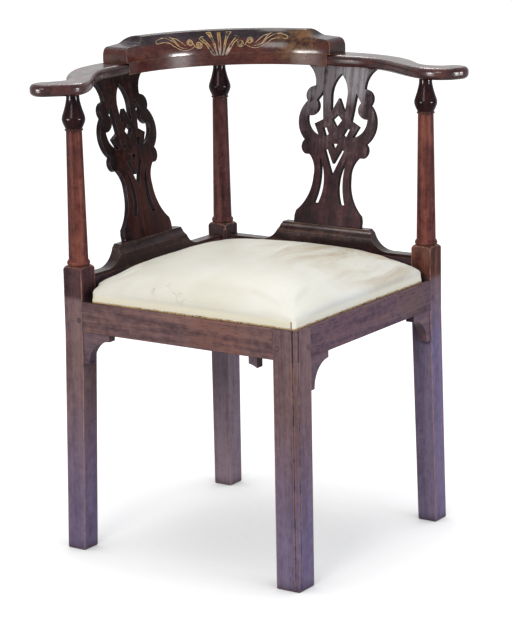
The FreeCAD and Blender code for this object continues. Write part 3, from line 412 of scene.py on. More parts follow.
def add_studio():
    """Soft lamps in front and above, and windows that only gloss and polish show."""
    middle = (0, 0, 0.5)
    splats = (0, 0.2, 0.8)
    add_world()
    add_floor()
    add_lamp("key", place=(-2.1, -3.0, 2.4), aim=middle, width=1.3, height=1.3, power=90,
             colour=(1.0, 0.97, 0.94))
    fill = add_lamp("fill", place=(2.7, -2.5, 1.2), aim=middle, width=1.6, height=1.6,
                    power=62, colour=(0.75, 0.81, 1.0))
    fill.visible_glossy = False
    add_lamp("top", place=(0.0, 0.9, 3.4), aim=(0, 0.1, 0.5), width=2.6, height=2.0, power=34)
    add_window("window_right", place=(2.2, -2.0, 0.72), aim=splats, width=0.8, height=0.30,
               power=110)
    add_window("window_left", place=(-2.6, -1.25, 0.74), aim=splats, width=1.0, height=0.30,
               power=125)
    add_window("window_back", place=(0.6, 2.6, 3.0), aim=(0, 0.2, 0.6), width=1.0, height=0.8,
               power=60)
    bpy.context.scene.view_settings.view_transform = "Standard"


# Wood

# Wood of other colours from a height upwards, and a patch of colour round a place: a stain on
# some pieces, painted sheen or painted shade on others
Zone = namedtuple("Zone", "height blend tones")
Patch = namedtuple("Patch", "centre reach colour")

# Colour of the painted shade with grime in corners
grime_and_shade_colour = (0.012, 0.006, 0.008)
dust_colour = (0.17, 0.13, 0.14)
# Colour of the painted shade on the sides of boards
side_shade_colour = (0.015, 0.006, 0.009)
joint_colour = (0.014, 0.008, 0.009)


class Wood(Paint):
    """Old wood with its figure along the grain. The seed gives each piece its own figure."""

    def __init__(self, name, grain, seed, contrast):
        super().__init__(name)
        self.along = self.turned(grain, (seed * 1.7, seed * 2.3, seed * 3.1))
        self.streaks = self.figure((7, 150, 150), 4, 0.6, 0.4)
        self.fine = self.figure((16, 480, 480), 4, 0.65, 0.3)
        self.patches = self.noise(self.along, 9.0, 4, 0.6, 0.4)
        wander = self.times(self.math("SUBTRACT", self.patches, 0.5), 10 * MM)
        self.height = self.math("ADD", self.axis(self.place, "Z"), wander)
        broad = self.figure((2.2, 26, 26), 5, 0.6, 0.6)
        mottle = self.noise(self.along, 70.0, 5, 0.62, 0.3)
        tone = self.weighted((broad, 0.38), (mottle, 0.26), (self.streaks, 0.20),
                             (self.fine, 0.16))
        self.low_tone = self.around(tone, 0.455, 0.055 / contrast)
        self.high_tone = self.around(tone, 0.55, 0.06 / contrast)

    def figure(self, spread, detail, rough, warp=0.0):
        """Noise drawn out along the grain, by how fine it is along it and across it twice."""
        return self.noise(self.scaled(self.along, spread), 1.0, detail, rough, warp)

    def figured(self, tones):
        """The figure in a dark, a middle and a light tone."""
        dark, middle, light = tones
        return self.mix(self.high_tone, self.mix(self.low_tone, dark, middle), light)

    def banded(self, tones, zones):
        """The figured colour and the darkest tone, zone above zone."""
        colour = self.figured(tones)
        deep = tones[0]
        for zone in zones:
            above = self.around(self.height, zone.height, zone.blend)
            colour = self.mix(above, colour, self.figured(zone.tones))
            deep = self.mix(above, deep, zone.tones[0])
        return colour, deep

    def stains_and_painted_light(self, colour, deep, patches):
        """Patches of another colour, which follow the streaks: stains on some pieces, painted
        sheen or painted shade on others.
        """
        for patch in patches:
            near = self.ramp(self.distance(patch.centre), patch.reach, patch.reach * 0.4)
            share = self.times(near, self.ramp(self.streaks, 0.40, 0.58, 0.45, 1.0))
            colour = self.mix(share, colour, self.mix(self.low_tone, deep, patch.colour))
        return colour

    def darkened(self, colour, deep):
        """Cloudy dark places and open pores."""
        colour = self.mix(self.ramp(self.patches, 0.50, 0.78, 0.0, 0.5), colour, deep)
        pores = self.figure((60, 700, 700), 2, 0.5)
        pore_colour = self.mix(1.0, deep, (0.5, 0.5, 0.5), "MULTIPLY")
        return self.mix(self.ramp(pores, 0.58, 0.72, 0.0, 0.6), colour, pore_colour)

    def dusted(self, colour, dust):
        """A streaky film of dust."""
        film = self.figure((9, 90, 90), 6, 0.7, 0.5)
        return self.mix(self.ramp(film, 0.42, 0.66, dust * 0.15, dust), colour, dust_colour)

    def worn_edge(self, arris, wear, faint_above):
        """The share of bare wood on the edges, rubbed away in places."""
        rub = self.noise(self.along, 45.0, 4, 0.65)
        edge = self.times(self.edge(arris, 0.02, 0.22),
                          self.ramp(rub, 0.36, 0.56, 0.2 * wear, wear))
        if faint_above is not None:
            edge = self.times(edge, self.around(self.height, faint_above, 2 * MM, 1.0, 0.2))
        return edge

    def joint(self, low, high):
        """One between the heights of a joint, whose edges are tight and dark."""
        over = self.around(self.height, low, 2 * MM)
        return self.times(over, self.ramp(self.height, high - 1 * MM, high + 2 * MM, 1.0, 0.0))

    def polish(self, rough, polished_from):
        """How dull the surface is. It is smoother from a height upwards."""
        dullness = self.noise(self.along, 30.0, 5, 0.6)
        polish = self.ramp(dullness, 0.3, 0.7, rough - 0.06, rough + 0.10)
        if polished_from is not None:
            smoother = self.around(self.height, polished_from, 4 * MM, 1.0, 0.30)
            polish = self.times(polish, smoother)
        return polish


def wood(name, grain, seed, tones, zones=(), patches_at=(), contrast=1.0, dust=0.0,
         flat_faces=None, wear=0.6, worn=(0.26, 0.13, 0.075), arris=2.2 * MM, faint_above=None,
         joined=None, rough=0.42, polished_from=None, gloss=0.12, coat=0.0, coat_rough=0.16):
    """Old wood: figure and pores along the grain, painted shade with grime in the corners, and
    worn edges.

    flat_faces is the direction of a board's faces, whose sides get painted shade.
    wear is how bare the edges are, worn their colour and arris how wide they are.
    Above faint_above they are hardly worn, and between the heights of joined they are dark.
    """
    paint = Wood(name, grain, seed, contrast)
    colour, deep = paint.banded(tones, zones)
    colour = paint.stains_and_painted_light(colour, deep, patches_at)
    colour = paint.darkened(colour, deep)
    if dust > 0:
        colour = paint.dusted(colour, dust)
    # Painted shade with grime, darkest where nearby parts shut out the light
    colour = paint.mix(paint.grime_and_shade(26 * MM, 0.85), colour, grime_and_shade_colour)
    if flat_faces is not None:
        # Painted shade on a board's sides, which turn away from its faces
        colour = paint.mix(paint.facing(flat_faces, 0.9, 0.6), colour, side_shade_colour)
    if joined is not None:
        worn = paint.mix(paint.joint(*joined), worn, joint_colour)
    colour = paint.mix(paint.worn_edge(arris, wear, faint_above), colour, worn)
    dents = paint.noise(paint.along, 60.0, 3, 0.5)
    relief = paint.weighted((paint.fine, 0.35), (dents, 0.65))
    eased = paint.rounded(1.2 * MM)
    paint.surface.inputs["Coat Weight"].default_value = coat
    paint.surface.inputs["Coat Roughness"].default_value = coat_rough
    if coat > 0:
        paint.link(eased, paint.surface.inputs["Coat Normal"])
    return paint.finish(colour, paint.polish(rough, polished_from),
                        paint.bump(relief, 0.6 * MM, 0.2, eased), gloss)


# Tones of each kind of wood: its dark, middle and light colour
leg_tones = ((0.115, 0.066, 0.066), (0.190, 0.114, 0.120), (0.260, 0.160, 0.150))
leg_low_tones = ((0.122, 0.090, 0.156), (0.190, 0.146, 0.236), (0.245, 0.190, 0.285))
# The rear leg is painted lighter: painted light that makes up for the seat's shade on it
rear_lightened_tones = ((0.180, 0.125, 0.158), (0.265, 0.190, 0.235), (0.330, 0.245, 0.280))
left_block_tones = ((0.018, 0.008, 0.010), (0.062, 0.026, 0.032), (0.135, 0.058, 0.054))
right_block_tones = ((0.034, 0.010, 0.009), (0.112, 0.037, 0.028), (0.210, 0.085, 0.052))
rear_block_tones = ((0.007, 0.004, 0.006), (0.028, 0.015, 0.020), (0.085, 0.040, 0.038))
rail_tones = ((0.040, 0.022, 0.034), (0.112, 0.066, 0.092), (0.195, 0.108, 0.108))
left_rail_tones = ((0.070, 0.036, 0.038), (0.168, 0.094, 0.096), (0.275, 0.148, 0.122))
column_tones = ((0.040, 0.010, 0.009), (0.132, 0.034, 0.028), (0.250, 0.082, 0.050))
rear_column_tones = ((0.018, 0.006, 0.006), (0.066, 0.022, 0.024), (0.160, 0.056, 0.044))
vase_tones = ((0.004, 0.002, 0.003), (0.011, 0.004, 0.006), (0.040, 0.012, 0.012))
arm_tones = ((0.012, 0.003, 0.004), (0.045, 0.011, 0.012), (0.110, 0.032, 0.024))
crest_tones = ((0.024, 0.005, 0.005), (0.078, 0.018, 0.014), (0.155, 0.048, 0.026))
hollow_tones = ((0.018, 0.012, 0.015), (0.040, 0.027, 0.032), (0.078, 0.056, 0.060))
left_splat_tones = ((0.003, 0.001, 0.001), (0.009, 0.003, 0.003), (0.045, 0.012, 0.008))
right_splat_tones = ((0.011, 0.003, 0.004), (0.046, 0.013, 0.017), (0.115, 0.046, 0.044))
dusty_tones = ((0.012, 0.006, 0.008), (0.058, 0.034, 0.040), (0.190, 0.140, 0.145))
shoe_tones = ((0.008, 0.003, 0.004), (0.026, 0.010, 0.011), (0.110, 0.050, 0.034))
pine_tones = ((0.20, 0.11, 0.05), (0.36, 0.22, 0.11), (0.46, 0.31, 0.17))


def dress(node, grain, seed, tones, **finish):
    """Give a carried-over wooden piece its wood."""
    cover_with(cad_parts[node].data, wood(node, grain, seed, tones, **finish))


def dress_posts():
    """Legs that turn cooler towards the floor, dark blocks, red columns and black vases."""
    finish = dict(rough=0.50, gloss=0.06, wear=1.0, worn=(0.50, 0.27, 0.18), arris=4.5 * MM,
                  joined=(rail_bottom, rail_top))
    leg = Zone(190 * MM, 150 * MM, leg_tones)
    right_leg = Zone(380 * MM, 70 * MM, leg_tones)
    vase = Zone(column_head, 6 * MM, vase_tones)
    posts = (("left_post", 1.0, leg_low_tones, (leg,), left_block_tones, column_tones),
             ("right_post", 2.0, leg_low_tones, (right_leg,), right_block_tones, column_tones),
             ("rear_post", 3.0, rear_lightened_tones, (), rear_block_tones, rear_column_tones))
    for node, seed, low_tones, leg_zones, block_tones, shaft_tones in posts:
        block = Zone(rail_top + 4 * MM, 6 * MM, block_tones)
        column = Zone(shoulder_height, 2 * MM, shaft_tones)
        dress(node, upright, seed, low_tones, zones=leg_zones + (block, column, vase),
              contrast=0.55, polished_from=column_head, faint_above=shoulder_height, **finish)
    dress("front_leg", upright, 4.0, leg_low_tones, zones=(leg,), contrast=0.6, **finish)


def dress_rails():
    """The four rails, the front two with redder places, and the pegs of their joints."""
    left_red = Patch(seat_point(0.0, 0.15, 0.405), 0.075, (0.230, 0.105, 0.085))
    right_red = Patch(seat_point(0.36, 0.0, 0.405), 0.060, (0.150, 0.090, 0.090))
    rails = (("front_right_rail", along_v, rail_tones, (right_red,)),
             ("front_left_rail", along_u, left_rail_tones, (left_red,)),
             ("back_right_rail", along_u, rail_tones, ()),
             ("back_left_rail", along_v, rail_tones, ()))
    for index, (node, grain, tones, patches) in enumerate(rails):
        dress(node, grain, 5.0 + index, tones, patches_at=patches, contrast=0.6, rough=0.45,
              gloss=0.06, wear=0.95)
    dress("joint_pegs", (1, 0, 0), 21.0, rail_tones, wear=0.0, rough=0.5)


def dress_shoes_and_brackets():
    """Dark, polished shoes under the splats, and the brackets under the rails."""
    for node, grain, seed in (("right_shoe", along_u, 9.0), ("left_shoe", along_v, 10.0)):
        dress(node, grain, seed, shoe_tones, rough=0.30, gloss=0.2)
    brackets = (("left_bracket", along_u), ("right_bracket", along_v),
                ("front_right_bracket", along_v), ("front_left_bracket_stub", along_v))
    for index, (node, grain) in enumerate(brackets):
        dress(node, grain, 16.0 + index, rail_tones, rough=0.45)


def dress_splats():
    """The right splat, dusty, with painted sheen on its head, and the blacker left one."""
    dusty = Zone(640 * MM, 70 * MM, dusty_tones)
    low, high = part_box("right_splat")
    # Painted sheen: two pale patches on the right splat's head
    sheen = Patch((low[0] + 0.05, high[1] - 0.02, high[2] - 0.03), 0.08, (0.17, 0.15, 0.16))
    top_right_sheen = Patch((high[0] - 0.03, low[1] + 0.07, high[2] - 0.03), 0.055, (0.32, 0.30, 0.32))
    dress("right_splat", up_right_splat, 11.0, right_splat_tones, zones=(dusty,),
          patches_at=(sheen, top_right_sheen), contrast=1.2, dust=0.05, wear=0.4, rough=0.44, gloss=0.05,
          flat_faces=Vector(along_u).cross(Vector(up_right_splat)).normalized())
    low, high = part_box("left_splat")
    waist = ((low[0] + high[0]) / 2 + 0.02, (low[1] + high[1]) / 2 + 0.02, 0.55)
    glow = Patch(waist, 0.11, (0.048, 0.012, 0.008))
    # The left splat's pale greyish edges are worn wood, and also a painted highlight along the
    # arrises
    dress("left_splat", up_left_splat, 12.0, left_splat_tones, patches_at=(glow,), contrast=1.2,
          wear=0.6, worn=(0.17, 0.12, 0.14), rough=0.26, gloss=0.09,
          flat_faces=Vector(along_v).cross(Vector(up_left_splat)).normalized())


def dress_arms_and_crest():
    """Polished arms, and the crest with its greyer hollow, one golden place, a worn browner left
    end and painted shade on its right end.
    """
    for node, grain, seed in (("right_arm", (0.63, -0.77, 0), 13.0),
                              ("left_arm", (-0.63, -0.77, 0), 14.0)):
        dress(node, grain, seed, arm_tones, rough=0.30, gloss=0.08, coat=0.4, coat_rough=0.22)
    hollow = Zone(816 * MM, 4 * MM, hollow_tones)
    golden = Patch((0.125, 0.235, 0.818), 0.055, (0.190, 0.092, 0.036))
    # Painted shade on the crest's right end, which turns away from the light
    shaded_right_end = Patch((0.222, 0.200, 0.800), 0.050, (0.014, 0.006, 0.007))
    brown_end = Patch((-0.215, 0.20, 0.816), 0.040, (0.080, 0.038, 0.030))
    dress("crest_rail", (1, 0, 0), 15.0, crest_tones, zones=(hollow,),
          patches_at=(golden, shaded_right_end, brown_end), contrast=0.8, wear=0.8,
          worn=(0.42, 0.26, 0.12), rough=0.26, gloss=0.05, coat=0.3)


def dress_plain_wood():
    """Unpolished pine inside the chair."""
    nodes = (("front_glue_block", (1, 0, 0)), ("left_glue_block", (0, 1, 0)),
             ("right_glue_block", (0, 1, 0)), ("rear_glue_block", (1, 0, 0)),
             ("seat_frame_front_right", along_v), ("seat_frame_front_left", along_u),
             ("seat_frame_back_right", along_u), ("seat_frame_back_left", along_v))
    for index, (node, grain) in enumerate(nodes):
        dress(node, grain, 30.0 + index, pine_tones, dust=0.25, wear=0.3, worn=(0.5, 0.36, 0.2),
              rough=0.75, gloss=0.3)


def dress_iron():
    """Blackened screws, nails and tacks with a little rust."""
    iron = (0.07, 0.065, 0.06)
    rust_brown = (0.16, 0.07, 0.035)
    paint = Paint("old_iron")
    rust = paint.noise(paint.place, 220.0, 5, 0.65)
    colour = paint.mix(paint.ramp(rust, 0.45, 0.65), iron, rust_brown)
    paint.surface.inputs["Metallic"].default_value = 0.7
    material = paint.finish(colour, paint.ramp(rust, 0.3, 0.7, 0.4, 0.75),
                            paint.bump(rust, 0.3 * MM, 0.5))
    for node in ("crest_screws", "shoe_nails", "bracket_nails", "glue_block_nails",
                 "cover_tacks", "webbing_tacks"):
        cover_with(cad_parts[node].data, material)


# Carving on the crest rail

def crest_setback(height):
    """How far the crest's front stands behind the bow's inner face, at a height."""
    if height < crest_shoulder:
        share = (height - crest_band_top) / (crest_shoulder - crest_band_top)
        return -crest_lip + (crest_lip + crest_shoulder_setback) * max(share, 0) ** 2
    share = min((height - crest_shoulder) / (crest_front_top - crest_shoulder), 1)
    hollow = crest_top_setback - crest_shoulder_setback
    return crest_shoulder_setback + hollow * (1 - (1 - share) ** crest_hollow_power)


def crest_face(arc_length, height):
    """A point on the crest's front, by its run along the arc from the middle and its height,
    with the direction that the surface faces there."""
    probe = 0.5 * MM
    turn = arc_length / bow_inner_radius
    away = Vector((math.sin(turn), math.cos(turn), 0))
    slope = (crest_setback(height + probe) - crest_setback(height - probe)) / (2 * probe)
    radius = bow_inner_radius + crest_setback(height)
    point = Vector((radius * away.x, bow_centre_y + radius * away.y, height))
    facing = (Vector((0, 0, slope)) - away).normalized()
    return point, facing


def smooth_run(points):
    """Points along a curve that passes through the given ones, in metres."""
    given = [Vector((x * MM, z * MM)) for x, z in points]
    padded = [given[0] * 2 - given[1]] + given + [given[-1] * 2 - given[-2]]
    result = []
    for a, b, c, d in zip(padded, padded[1:], padded[2:], padded[3:]):
        for step in range(stroke_steps):
            t = step / stroke_steps
            place = 0.5 * (2 * b + (c - a) * t + (2 * a - 5 * b + 4 * c - d) * t * t
                           + (3 * b - a - 3 * c + d) * t ** 3)
            result.append((place.x, place.y))
    result.append((given[-1].x, given[-1].y))
    return result


def blend_along(values, share):
    """The value at a share of the way along a list of values."""
    place = share * (len(values) - 1)
    index = min(int(place), len(values) - 2)
    return values[index] + (values[index + 1] - values[index]) * (place - index)


def carve_stroke(mesh, points, widths, proud):
    """Add a raised, rounded stroke along points of the crest's front."""
    run = smooth_run(points)
    last = len(run) - 1
    rings = []
    for index, place in enumerate(run):
        width = blend_along(widths, index / last) * MM
        rise = min(width / 2, proud * MM)
        point, facing = crest_face(*place)
        before, _ = crest_face(*run[max(index - 1, 0)])
        after, _ = crest_face(*run[min(index + 1, last)])
        side = (after - before).normalized().cross(facing).normalized()
        ring = []
        for step in range(stroke_sides):
            angle = 2 * math.pi * step / stroke_sides
            corner = point + side * (math.cos(angle) * width / 2)
            corner += facing * (math.sin(angle) * rise + stroke_lift)
            ring.append(mesh.verts.new(corner))
        rings.append(ring)
    bridge(mesh, rings, closed=True)
    mesh.faces.new(rings[0][::-1])
    mesh.faces.new(rings[-1])


def spiral(centre, radius, start, turns):
    """Points of a small volute that winds inwards to three tenths of its radius."""
    points = []
    count = 12
    for index in range(count):
        share = index / (count - 1)
        angle = start + turns * 2 * math.pi * share
        reach = radius * (1 - 0.7 * share)
        points.append((centre[0] + reach * math.cos(angle), centre[1] + reach * math.sin(angle)))
    return points


def both_sides(strokes):
    """Strokes to the left of the carving's middle, and the same ones to its right."""
    return [([(side * x + carving_middle, z) for x, z in points], widths, proud)
            for side in (-1, 1) for points, widths, proud in strokes]


def carving_outlines():
    """Outlines of the shell's lobes, then two scrolls, then trailing leaves.
    A stroke has its points, out from the middle and up, its widths and how proud it stands,
    all in millimetres."""
    thin = (1.0, 1.3, 1.3, 1.0)
    volute = (1.1, 1.6, 1.8, 1.5)
    leaf = (0.8, 1.2, 1.4, 1.2, 0.9)
    return both_sides((
        ([(2.2, 828), (2.0, 816), (1.7, 803), (0.8, 789)], thin, 1.0),
        ([(13.4, 827.5), (11.5, 819.5), (8.5, 809.6), (6.3, 797.6), (3.5, 788.5)], thin, 1.0),
        ([(12.6, 828.4), (17, 829), (22, 828.2)], thin, 1.0),
        ([(21.4, 828.2), (16.4, 821.6), (12.1, 813.6), (9.4, 803), (5.5, 788.7)], thin, 1.0),
        ([(27, 822), (31, 822), (35, 818.8)], thin, 1.0),
        ([(31.4, 821.4), (25.6, 815.6), (19.6, 808.8), (13.9, 800.4), (8.5, 789.3)], thin, 1.0),
        ([(35, 818.8), (31.4, 815), (25.1, 810), (20.2, 802), (14.3, 792.8), (9.5, 788.8)],
         thin, 1.0),
        (spiral((36.8, 809.4), 6.2, math.radians(150), 1.7), volute, 1.2),
        (spiral((53, 813.2), 6.0, math.radians(330), 1.7), volute, 1.2),
        ([(31, 806), (34, 803.6), (39, 803.4), (44.5, 806.8), (47.4, 811.5), (50, 817),
          (54, 819.3)], leaf, 1.1),
        ([(45.6, 806.6), (55.2, 801.9), (65, 800.9), (75, 804.2), (85.6, 810.6), (92, 815.4),
          (103.4, 817.5), (116.9, 816.4), (118.4, 819), (117.4, 821.4), (108.2, 824.2),
          (97, 824.6)], leaf, 1.0),
        ([(60.2, 804.6), (69.6, 806), (78.4, 811.6), (83.1, 817), (90.8, 821.4), (99, 824.6),
          (108.2, 825.6)], leaf, 1.0),
        ([(63, 809.2), (66.4, 813), (71.8, 817.4), (77.8, 821.6), (89, 824.6)], leaf, 1.0),
        ([(74.9, 809.4), (79.6, 816.4), (84.7, 822.6), (90, 826)], leaf, 1.0)))


def carving_flutes():
    """The low rounded fillings of the shell's lobes and the cores of its scrolls."""
    middle = [(carving_middle, height) for height in (828, 816, 803, 790)]
    return [(middle, (2.6, 2.4, 2.0, 0.8), 0.6)] + both_sides((
        ([(17, 827.4), (14.2, 821), (10.4, 811.8), (7.9, 800.6), (4.6, 789.6)],
         (5.4, 3.6, 2.2, 1.8, 1.0), 0.6),
        ([(31, 820.4), (25.4, 813), (19.9, 805.8), (14.1, 796.8), (9.3, 789.8)],
         (2.4, 3.4, 4.0, 3.6, 1.2), 0.6),
        ([(35.4, 810.4), (38, 809.8)], (3.4, 3.4), 1.4),
        ([(52.4, 813.2), (54.8, 812.8)], (3.2, 3.2), 1.4)))


def carved_wood(name, tan, dark, low, high):
    """Carved wood with traces of old gilding, worn through to the dark, and a painted whitish
    highlight towards the bottom.
    """
    pale_highlight_colour = (0.50, 0.42, 0.38)
    highlight_from = 806 * MM
    highlight_full = 796 * MM
    paint = Paint(name)
    rub = paint.noise(paint.place, 190.0, 5, 0.7)
    patches = paint.noise(paint.place, 60.0, 3, 0.6)
    both = paint.weighted((rub, 0.5), (patches, 0.5))
    colour = paint.mix(paint.ramp(both, low, high), dark, tan)
    # Painted highlight: whitish towards the bottom of the carving
    painted_highlight = paint.times(paint.ramp(paint.axis(paint.place, "Z"), highlight_from, highlight_full),
                         paint.ramp(both, low, high, 0.0, 0.8))
    colour = paint.mix(painted_highlight, colour, pale_highlight_colour)
    return paint.finish(colour, 0.40, paint.bump(rub, 0.3 * MM, 0.5), gloss=0.3)


def add_relief(name, strokes, material):
    """One piece of carving, made of its strokes."""
    mesh = bmesh.new()
    for points, widths, proud in strokes:
        carve_stroke(mesh, points, widths, proud)
    obj = mesh_object(name, mesh)
    smooth(obj.data)
    cover_with(obj.data, material)
    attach(obj, "frame")


def add_carving():
    gilt = carved_wood("carved_outlines", (0.56, 0.38, 0.19), (0.10, 0.05, 0.03), 0.40, 0.50)
    ochre = carved_wood("carved_flutes", (0.34, 0.18, 0.035), (0.022, 0.012, 0.012), 0.47, 0.56)
    add_relief("crest_carving", carving_outlines(), gilt)
    add_relief("crest_flutes", carving_flutes(), ochre)


# Drop-in seat

def seat_outline(inset):
    """The seat's plan in seat axes, with its sides drawn in a little."""
    low = seat_low + inset
    high = seat_high - inset
    face = notch_face - inset
    side = notch_side + inset
    steps = 14

    def bowed(start, end, inward):
        points = []
        for index in range(steps):
            share = index / steps
            depth = cover_side_draw * 4 * share * (1 - share)
            points.append((start[0] + (end[0] - start[0]) * share + inward[0] * depth,
                           start[1] + (end[1] - start[1]) * share + inward[1] * depth))
        return points

    outline = bowed((low, low), (face, low), (0, 1))
    outline += [(face, low), (face, side)]
    outline += bowed((high, side), (high, face), (-1, 0))
    outline += [(high, face), (face, face)]
    outline += bowed((face, high), (side, high), (0, -1))
    outline += [(side, high), (side, face)]
    outline += bowed((low, face), (low, low), (1, 0))
    return outline


def crown_share(place):
    """How much of the crown stands at a place from -1 to 1 across the seat."""
    at_side = 0.04
    return at_side + (1 - at_side) * (1 - min(abs(place), 1) ** 3) ** 0.6


def seat_height(v, u):
    """The height of the seat's crowned top."""
    centre = (seat_low + seat_high) / 2
    reach = (seat_high - seat_low) / 2
    rise = crown_share((v - centre) / reach) * crown_share((u - centre) / reach)
    return cover_edge_height + seat_crown * rise


def pad_object(name, inset, bottom, drop, voxel):
    """A closed pad of the seat's plan, remeshed evenly as a block and then crowned."""
    block_top = 0.50
    outline = seat_outline(inset)
    mesh = bmesh.new()
    low = [mesh.verts.new(seat_point(v, u, bottom)) for v, u in outline]
    high = [mesh.verts.new(seat_point(v, u, block_top)) for v, u in outline]
    bridge(mesh, (low, high), closed=True)
    mesh.faces.new(low[::-1])
    mesh.faces.new(high)
    obj = mesh_object(name, mesh)
    remesh = obj.modifiers.new("remesh", "REMESH")
    remesh.mode = "VOXEL"
    remesh.voxel_size = voxel
    apply_modifiers(obj)
    for vertex in obj.data.vertices:
        v, u = seat_place(vertex.co)
        share = (vertex.co.z - bottom) / (block_top - bottom)
        top = seat_height(v, u) - drop
        vertex.co.z = bottom + share * (top - bottom)
    return obj


def puff_up(obj, cap):
    """Cloth under light pressure, its base held, with each point's movement capped."""
    held_below = rail_top + 1 * MM
    steps = 20
    before = [(v.co.copy(), v.normal.copy()) for v in obj.data.vertices]
    hold = obj.vertex_groups.new(name="hold")
    for vertex in obj.data.vertices:
        hold.add([vertex.index], 1.0 if vertex.co.z < held_below else 0.0, "REPLACE")
    cloth = obj.modifiers.new("cloth", "CLOTH").settings
    cloth.vertex_group_mass = "hold"
    cloth.use_pressure = True
    cloth.uniform_pressure_force = 4
    cloth.effector_weights.gravity = 0
    cloth.tension_stiffness = 25
    cloth.compression_stiffness = 25
    cloth.bending_stiffness = 2
    scene = bpy.context.scene
    for step in range(steps):
        scene.frame_set(step + 1)
    apply_modifiers(obj)
    scene.frame_set(1)
    for vertex, (rest, facing) in zip(obj.data.vertices, before):
        move = vertex.co - rest
        inward = min(move.dot(facing), 0)
        move -= facing * inward
        if move.length > cap:
            move *= cap / move.length
        vertex.co = rest + move


def soften(mesh, rounds, share, keep_below):
    """Even out the surface above a height, point by point."""
    work = bmesh.new()
    work.from_mesh(mesh)
    for _ in range(rounds):
        targets = []
        for vertex in work.verts:
            near = [edge.other_vert(vertex).co for edge in vertex.link_edges]
            targets.append(sum(near, Vector()) / len(near))
        for vertex, target in zip(work.verts, targets):
            if vertex.co.z > keep_below:
                vertex.co = vertex.co.lerp(target, share)
    work.to_mesh(mesh)
    work.free()


def crease(mesh):
    """Slight hollows and folds pressed into the leather by years of use."""
    for vertex in mesh.vertices:
        if vertex.co.z < cover_edge_height - 6 * MM:
            continue
        v, u = seat_place(vertex.co)
        place = Vector((v * 6, u * 6, 0.3))
        dent = noise.noise(place) * 1.6 + noise.noise(place * 2.7) * 0.7
        fold = noise.noise(Vector((v * 9 + u * 5, (v - u) * 34, 1.7))) * 0.35
        vertex.co.z += (dent + fold) * MM


def open_underside(mesh):
    """The leather is turned under the frame, and open inside that margin."""
    work = bmesh.new()
    work.from_mesh(mesh)
    near = seat_low + cover_turn_under
    far = seat_high - cover_turn_under
    gone = []
    for face in work.faces:
        centre = face.calc_center_median()
        v, u = seat_place(centre)
        if centre.z < cover_bottom + 4 * MM and near < v < far and near < u < far:
            gone.append(face)
    bmesh.ops.delete(work, geom=gone, context="FACES")
    work.to_mesh(mesh)
    work.free()


def stain_leather(paint, colour):
    """Brown stains, mostly on the right side of the seat, and specks all over."""
    most_stained = (0.17, 0.0, 0.45)
    cloud = paint.scaled(paint.turned(along_v, (7.0, 2.0, 0.0)), (1.0, 2.2, 1.0))
    stain = paint.ramp(paint.noise(cloud, 8.0, 6, 0.6, 0.7), 0.40, 0.66, 0.0, 0.8)
    right_side = paint.ramp(paint.distance(most_stained), 0.06, 0.24, 1.0, 0.08)
    colour = paint.mix(paint.times(stain, right_side), colour, (0.50, 0.41, 0.27))
    speck = paint.noise(paint.place, 260.0, 3, 0.6)
    return paint.mix(paint.ramp(speck, 0.64, 0.78, 0.0, 0.3), colour, (0.44, 0.33, 0.2))


def crack_leather(paint, colour):
    """Fine cracks, which wander over the seat and show in a few places only."""
    cloud = paint.noise(paint.place, 7.0, 6, 0.55, 0.8)
    from_line = paint.math("ABSOLUTE", paint.math("SUBTRACT", cloud, 0.5))
    places = paint.ramp(paint.noise(paint.place, 16.0, 2, 0.5), 0.58, 0.68)
    crack = paint.times(paint.ramp(from_line, 0.0010, 0.0035, 0.4, 0.0), places)
    return paint.mix(crack, colour, (0.30, 0.24, 0.17))


def paint_slit_shade(paint, colour, height):
    """Painted shade: a dark upright line for the slit where the cover is folded at the front
    corner.
    """
    across = paint.math("SUBTRACT", paint.axis(paint.place, "X"), -4 * MM)
    from_slit = paint.math("ABSOLUTE", across)
    painted_slit_shade = paint.times(paint.ramp(from_slit, 0.4 * MM, 1.3 * MM, 0.9, 0.0),
                       paint.ramp(paint.axis(paint.place, "Y"), -288 * MM, -294 * MM))
    painted_slit_shade = paint.times(painted_slit_shade, paint.ramp(height, 444 * MM, 441 * MM))
    return paint.mix(painted_slit_shade, colour, (0.03, 0.02, 0.012))


def dirty_rim(paint, colour, height):
    """The brown, speckled line along the rails. It ends where the leather tucks in."""
    wander = paint.times(paint.noise(paint.place, 60.0, 3, 0.6), 5 * MM)
    level = paint.math("ADD", height, wander)
    tucked = paint.ramp(level, 429 * MM, 430.5 * MM)
    rim = paint.times(paint.ramp(level, 435.5 * MM, 433.5 * MM, 0.0, 0.9), tucked)
    colour = paint.mix(rim, colour, (0.44, 0.27, 0.08))
    dots = paint.ramp(paint.noise(paint.place, 330.0, 2, 0.5), 0.56, 0.62)
    dots = paint.times(dots, paint.ramp(level, 435 * MM, 433.5 * MM))
    return paint.mix(paint.times(dots, tucked), colour, (0.05, 0.03, 0.015))


